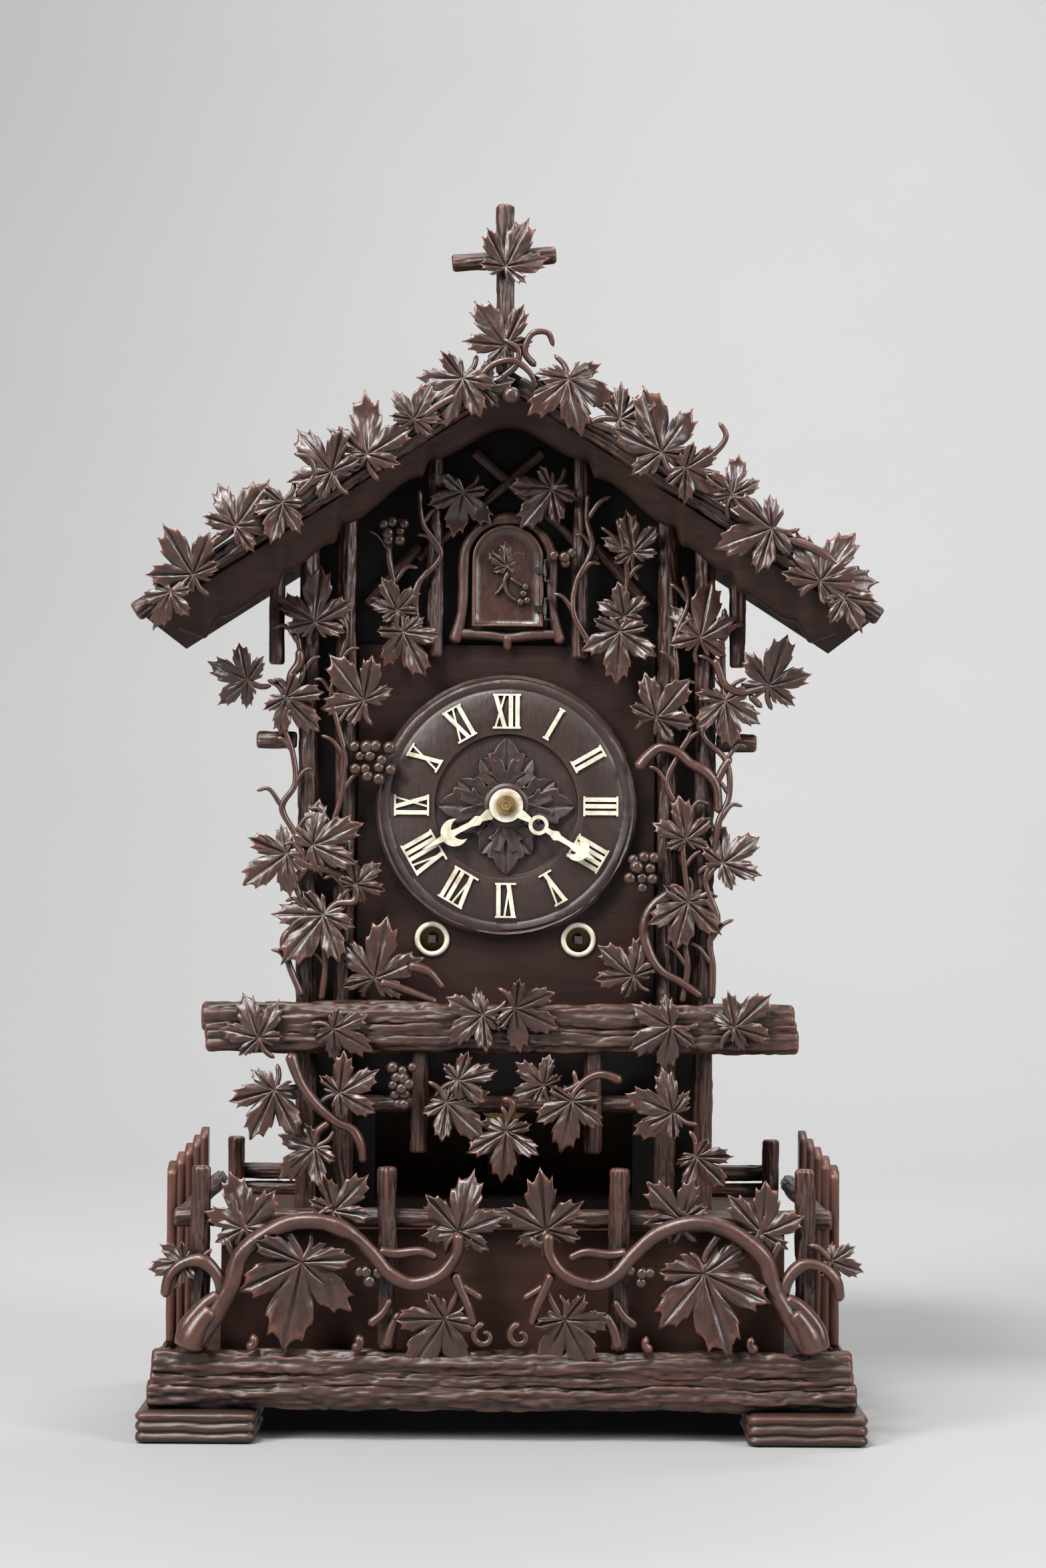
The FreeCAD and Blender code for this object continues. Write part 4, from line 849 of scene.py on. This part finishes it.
def make_dial():
    """Turned dial with a barky rim and a stepped middle."""
    s = Shape()
    profile = [(HUB_R, -58.0), (32.3, -58.0), (33.0, -58.6), (33.4, -59.7), (34.3, -59.9), (40, -59.8),
               (52.5, -59.8),
               (53.3, -59.3), (54.2, -59.0), (55.3, -59.7), (57.2, -59.95), (58.6, -59.2), (59.4, -59.6),
               (60.6, -58.2), (60.9, -55.5), (60.4, -53.1), (HUB_R, -53.1)]
    sides = 360
    verts = []
    for i in range(sides):
        t = 2 * math.pi * i / sides
        for k, (r, y) in enumerate(profile):
            chip = 0.0
            if 11 <= k <= 14:
                chip = 0.8 * bark(t, 2.2, k * 0.9)
                chip -= 0.45 * abs(bark(t, 9, k * 0.5))
            rr = min(r + chip, 60.95)
            yy = y + (0.35 * abs(chip) if 11 <= k <= 13 else 0)
            verts.append((rr * math.cos(t), yy, DIAL_Z + rr * math.sin(t)))
    s.add(verts, swept_faces(sides, len(profile)))
    obj = build(s, "turned_dial", DIAL_WOOD, "dial_ring")
    obj.modifiers.new("crisp", "EDGE_SPLIT").split_angle = math.radians(38)
    s = Shape()
    for k in range(4):
        rosette_leaf(s, math.radians(90 * k + 90))
    turned(s, [(HUB_R, -57.8), (HUB_R, -60.3), (8.5, -60.4), (10.2, -59.9), (10.9, -59.0), (11.0, -58.0)],
           64, 0.0, DIAL_Z)
    build(s, "carved_rosette", DIAL_WOOD, "dial_rosette")


def turned(shape, profile, sides, cx, cz):
    """Turned ring about an axis through cx, cz, from a closed profile of (radius, y)."""
    verts = []
    for i in range(sides):
        t = 2 * math.pi * i / sides
        for r, y in profile:
            verts.append((cx + r * math.cos(t), y, cz + r * math.sin(t)))
    shape.add(verts, swept_faces(sides, len(profile)))


def lobe_half_width(t, wide, phase):
    """Half width of one narrow lobe along its length 0..1, with forward teeth."""
    swell = wide * (math.sin(math.pi * min(1.0, t * 0.82 + 0.10)) ** 0.85) * (1 - t ** 6)
    saw = (t * 2.8 + phase) % 1.0
    return swell * (0.80 + 0.42 * saw ** 1.4 * (t > 0.22) * (1 - 0.30 * t))


ROSETTE_R = 31.8
# (direction in degrees, length, half width as a part of the length, start)
ROSETTE_LOBES = [(0, 25.0, 0.34, 7.0), (38, 19.5, 0.36, 7.0), (-38, 19.5, 0.36, 7.0)]


def rosette_leaf(shape, turn):
    """Broad low leaf with three toothed lobes, from the boss out to the edge of the recess."""
    c, s = math.cos(turn), math.sin(turn)
    for lobe_turn, size, wide, start in ROSETTE_LOBES:
        steps, across = 26, 6
        verts, faces = [], []
        lt = math.radians(lobe_turn)
        for layer in (0, 1):
            for j in range(steps + 1):
                t = j / steps
                half = lobe_half_width(t, wide, 0.2) * size
                for i in range(-across, across + 1):
                    w = i / across
                    along, side = t * size + 0.2 * half * abs(w), w * half
                    px = start + along * math.cos(lt) - side * math.sin(lt)
                    pz = along * math.sin(lt) + side * math.cos(lt)
                    vein = -0.45 * math.exp(-(side / 0.5) ** 2)
                    h = 1.2 + 1.3 * abs(w) * math.sin(math.pi * t) + 1.6 * vein if layer == 0 else 0.0
                    rr = math.hypot(px, pz)
                    if rr > ROSETTE_R:
                        px, pz = px * ROSETTE_R / rr, pz * ROSETTE_R / rr
                    verts.append((px * c - pz * s, -58.05 - max(h, 0.05 * (1 - layer)),
                                         DIAL_Z + px * s + pz * c))
        cols = 2 * across + 1
        base = (steps + 1) * cols
        for j in range(steps):
            for i in range(cols - 1):
                a = j * cols + i
                faces.append((a, a + 1, a + cols + 1, a + cols))
                faces.append((base + a, base + a + cols, base + a + cols + 1, base + a + 1))
            for i in (0, cols - 1):
                a = j * cols + i
                faces.append((a, a + cols, base + a + cols, base + a))
        for j in (0, steps):
            for i in range(cols - 1):
                a = j * cols + i
                faces.append((a, a + 1, base + a + 1, base + a))
        shape.add(verts, faces)


def make_small_parts():
    s = Shape()
    for x in (-WIND_X, WIND_X):
        turned(s, [(5.75, -53.05), (5.75, -53.9), (6.3, -54.5), (7.2, -54.6), (8.0, -54.1), (8.25, -53.05)],
               72, x, WIND_Z)
    build(s, "turned_bezels", BONE, "winding_bezels")
    for node in ("numerals", "hour_hand", "minute_hand"):
        refine(node, BONE, 0.00022)


def arc(radius, z, steps):
    """Half circle over the middle of the door, from right to left, without its two ends."""
    return [(radius * math.cos(t * math.pi / steps), z + radius * math.sin(t * math.pi / steps))
            for t in range(1, steps)]


def make_cuckoo_door():
    """Arched door with a raised rim, a carved vine sprig with berries and a worn face."""
    s = Shape()
    width, z0, height = 33.2, 369.4, 47.3
    radius = width / 2

    def arch(inset):
        r = radius - inset
        raised = inset * 0.6
        sides = [z0 + raised + (height - radius - raised) * j / 6 for j in range(1, 6)]
        crown = [(r * math.cos(math.pi * j / 40), z0 + height - radius + r * math.sin(math.pi * j / 40))
                 for j in range(41)]
        pts = [(x, z0 + raised) for x in (-r, -r / 3, r / 3, r)]
        return pts + [(r, z) for z in sides] + crown + [(-r, z) for z in reversed(sides)]

    # the skin from the back edge over the rim to the middle: (distance in from the outline, y)
    layers = [(0.0, -56.9), (0.0, -59.8), (0.3, -60.15), (1.3, -60.18), (1.6, -59.8), (2.0, -59.2),
              (6, -59.1), (11, -59.15), (16.0, -59.2)]
    verts = []
    for inset, y in layers:
        for x, z in arch(inset):
            wave = 0.12 * lumps(x * 0.25, z * 0.05, 5)
            verts.append((x, y + (wave if y < -58 else 0), z))
    s.add(verts, tube_faces(len(layers) - 1, len(arch(0)), True))
    carved_leaf(s, -0.5, 397.5, 95, 12.5, -59.0, 830, 1.5)
    for i, (x, z) in enumerate(((7.2, 384.5), (9.0, 381.4), (5.9, 380.6), (8.2, 387.6))):
        berry(s, (x, -60.4, z), 1.8)
    branch(s, [(0, -60.2, 395), (-1.6, -60.4, 389), (0.5, -60.4, 384), (4.5, -60.3, 381)], 1.1, 0.7, 840)
    branch(s, [(-1.5, -60.2, 390), (-4, -60.3, 386), (-6.5, -60.3, 384)], 0.9, 0.5, 841)
    branch(s, [(1, -60.2, 392), (4, -60.3, 390), (7, -60.3, 388)], 0.9, 0.5, 842)
    build(s, "carved_cuckoo_door", [LEAF, BERRY], "cuckoo_door", body="cuckoo_door")
    s = Shape()
    path = [(25.2, 361.5), (23.0, 368), (21.0, 376), (20.4, 386), (20.6, 396)]
    path += arc(20.6, 399, 12)
    path += [(-x, z) for x, z in reversed(path[:5])]
    branch(s, [(x, -56.6, z) for x, z in path], 2.9, 2.9, 850)
    branch(s, [(x, -52.5, z) for x, z in path], 2.9, 2.9, 851)
    branch(s, [(-25, -56.2, 366.4), (-10, -56.4, 365.6), (0, -56.4, 364.6), (10, -56.4, 365.6),
               (25, -56.2, 366.4)], 2.6, 2.6, 852)
    branch(s, [(0, -56.5, 366), (0, -56.4, 362), (0.2, -56.2, 358)], 3.4, 1.6, 853)
    back = [(21, 365), (21, 398)] + arc(21, 398, 16) + [(-21, 398), (-21, 365)]
    flat_ring(s, back, -52.6, -46.1, 15.2, 371.6, 415)
    build(s, "carved_door_surround", LOG_Z, "door_surround")


def flat_ring(shape, outline, y0, y1, half, z0, z1):
    """Flat board with an arched opening, as quads between the outline and the opening's edge."""
    n = len(outline)
    inner = []
    for x, z in outline:
        top = z1 - half
        if z >= top:
            t = math.atan2(z - top, x)
            inner.append((half * math.cos(t), top + half * math.sin(t)))
        else:
            inner.append((math.copysign(half, x), max(z0, z)))
    verts = [(x, y, z) for y in (y0, y1) for x, z in outline + inner]
    faces = []
    for i in range(n):
        k = (i + 1) % n
        faces.append((i, k, n + k, n + i))
        faces.append((2 * n + i, 3 * n + i, 3 * n + k, 2 * n + k))
        faces.append((n + i, n + k, 3 * n + k, 3 * n + i))
        faces.append((i, 2 * n + i, 2 * n + k, k))
    shape.add(verts, faces)


def ellipsoid(shape, centre, half, slot=0):
    """Smooth rounded form with the faint flats of a knife, in millimetres."""
    rings, sides = 18, 26
    verts = []
    for j in range(rings + 1):
        phi = math.pi * j / rings
        for i in range(sides):
            t = 2 * math.pi * i / sides
            way = Vector((math.sin(phi) * math.cos(t), -math.cos(phi), math.sin(phi) * math.sin(t)))
            cut = 1 + 0.05 * noise.noise(way * 2.2 + Vector(centre))
            verts.append(Vector(centre) + Vector(a * b for a, b in zip(way, half)) * cut)
    shape.add(verts, tube_faces(rings, sides), slot)


def make_bird():
    """Carved over the plain bird: breast, folded wings, tail, eyes and an open beak."""
    s = Shape()
    ellipsoid(s, (0, -27.0, 395.4), (4.2, 6.2, 5.0))
    ellipsoid(s, (0, -14.5, 391.6), (3.0, 7.0, 0.9))
    for side in (-1, 1):
        ellipsoid(s, (side * 4.7, -22.5, 393.8), (1.2, 6.8, 3.7))
        ellipsoid(s, (side * 4.9, -19.5, 392.6), (1.1, 6.6, 2.0))
        ellipsoid(s, (side * 2.5, -32.3, 399.5), (0.7, 0.7, 0.7), 1)
    ellipsoid(s, (0, -34.6, 398.6), (1.1, 3.6, 0.7), 2)
    ellipsoid(s, (0, -34.2, 397.2), (0.9, 3.0, 0.5), 2)
    new_object("carved_bird", s, [BIRD_PAINT, BERRY, BRASS], "bird")


def dress_cad_nodes():
    refine("front_board", FRONT_WOOD, 0.0007)
    refine("base_box", BOARD_X, 0.0007)
    refine("case_sides", BOARD_Z, 0.0012)
    refine("case_shelves", BACK_WOOD, 0.0006)
    refine("back_frame", BACK_WOOD, 0.0008)
    refine("back_door", BACK_WOOD, 0.0009)
    for node in ("bellows_boxes", "bellows_lid_left", "bellows_lid_right", "sound_brackets", "pendulum_rod"):
        refine(node, PALE_WOOD, 0.0004)
    for node in ("back_hardware", "back_hinge_leaves", "latch_button", "movement_frame", "minute_pipe",
                 "pendulum_bob"):
        refine(node, BRASS, 0.0003)
    for node in ("time_great_wheel", "strike_great_wheel", "second_wheel", "centre_wheel", "third_wheel",
                 "escape_wheel", "pin_wheel", "fly", "hour_wheel", "motion_wheel"):
        refine(node, BRASS, 0)
    for node in ("winding_arbor_left", "winding_arbor_right", "door_loops", "door_pins", "hammer", "gong"):
        refine(node, STEEL, 0.00015)
    refine("bird", BIRD_PAINT, 0)


# ---------------------------------------------------------------- stage, camera and light
PAPER = (0.275, 0.275, 0.273)


def paper():
    """Matt pale paper with a very faint unevenness."""
    n = Nodes("paper")
    soft = n.noise(n.mapping((3, 3, 3)), 3, 0.5)
    n.color(n.mix(n.map_range(soft, 0.3, 0.7), PAPER, tuple(c * 0.985 for c in PAPER)))
    n.rough(n.map_range(soft, 0.3, 0.7, 0.80, 0.84))
    return n.mat


def make_stage():
    """Seamless pale backdrop: floor, a wide curve and a wall, made as one swept sheet."""
    rows = [(y, 0.0) for y in (-6.0, -2.0, 0.0, 1.2)]
    for k in range(1, 17):
        t = math.pi / 2 * k / 16
        rows.append((1.2 + 1.6 * math.sin(t), 1.6 - 1.6 * math.cos(t)))
    rows.append((2.8, 8.0))
    verts = [Vector((x, y, z - 0.0003)) for y, z in rows for x in (-8, 8)]
    faces = [(2 * i, 2 * i + 1, 2 * i + 3, 2 * i + 2) for i in range(len(rows) - 1)]
    mesh = bpy.data.meshes.new("backdrop")
    mesh.from_pydata(verts, [], faces)
    for p in mesh.polygons:
        p.use_smooth = True
    mesh.materials.append(paper())
    obj = bpy.data.objects.new("backdrop", mesh)
    bpy.context.scene.collection.objects.link(obj)


VIEW_HEIGHT, VIEW_DISTANCE, SENSOR = 0.705, 1.320, 36.0


def make_camera():
    """Camera in front of the clock, with VIEW_HEIGHT metres in the frame at VIEW_DISTANCE."""
    cam = bpy.data.cameras.new("camera")
    obj = bpy.data.objects.new("camera", cam)
    bpy.context.scene.collection.objects.link(obj)
    cam.sensor_fit = "VERTICAL"
    cam.sensor_height = SENSOR
    cam.lens = SENSOR / (VIEW_HEIGHT / VIEW_DISTANCE)
    cam.clip_start = 0.05
    obj.location = (0.0005, -0.1 - VIEW_DISTANCE, 0.244)
    aim = Vector((0.0075, -0.1, 0.2946))
    obj.rotation_euler = (aim - obj.location).to_track_quat("-Z", "Y").to_euler()
    obj.rotation_euler.rotate_axis("Z", math.radians(0.4))
    bpy.context.scene.camera = obj


def area_light(name, place, target, size, power):
    light = bpy.data.lights.new(name, "AREA")
    light.shape = "RECTANGLE"
    light.size, light.size_y = size
    light.energy = power
    obj = bpy.data.objects.new(name, light)
    obj.location = place
    obj.rotation_euler = (Vector(target) - Vector(place)).to_track_quat("-Z", "Y").to_euler()
    bpy.context.scene.collection.objects.link(obj)


def make_lights():
    area_light("softbox_left", (-1.5, -1.5, 1.5), (0, 0, 0.25), (0.7, 1.2), 70)
    area_light("softbox_right", (1.7, -1.2, 1.2), (0, 0, 0.3), (0.6, 1.2), 42)
    area_light("top_fill", (-0.5, -1.2, 2.2), (0, 0, 0.3), (0.6, 0.4), 60)
    area_light("wall_wash", (0.6, 1.0, 2.2), (0.2, 2.5, 0.55), (1.2, 0.8), 64)
    area_light("ceiling", (0.0, 0.0, 5.0), (0, 0, 0), (7.0, 7.0), 170)
    world = bpy.data.worlds.new("studio")
    world.use_nodes = True
    background = next(n for n in world.node_tree.nodes if n.type == "BACKGROUND")
    background.inputs["Color"].default_value = (0.86, 0.88, 0.92, 1)
    background.inputs["Strength"].default_value = 0.11
    bpy.context.scene.world = world


make_camera()
make_foliage()
make_logs()
make_feet()
make_pickets()
make_roof()
make_fascia()
make_dial()
make_small_parts()
make_cuckoo_door()
make_bird()
dress_cad_nodes()
make_stage()
make_lights()
bpy.context.scene.view_settings.view_transform = "Standard"
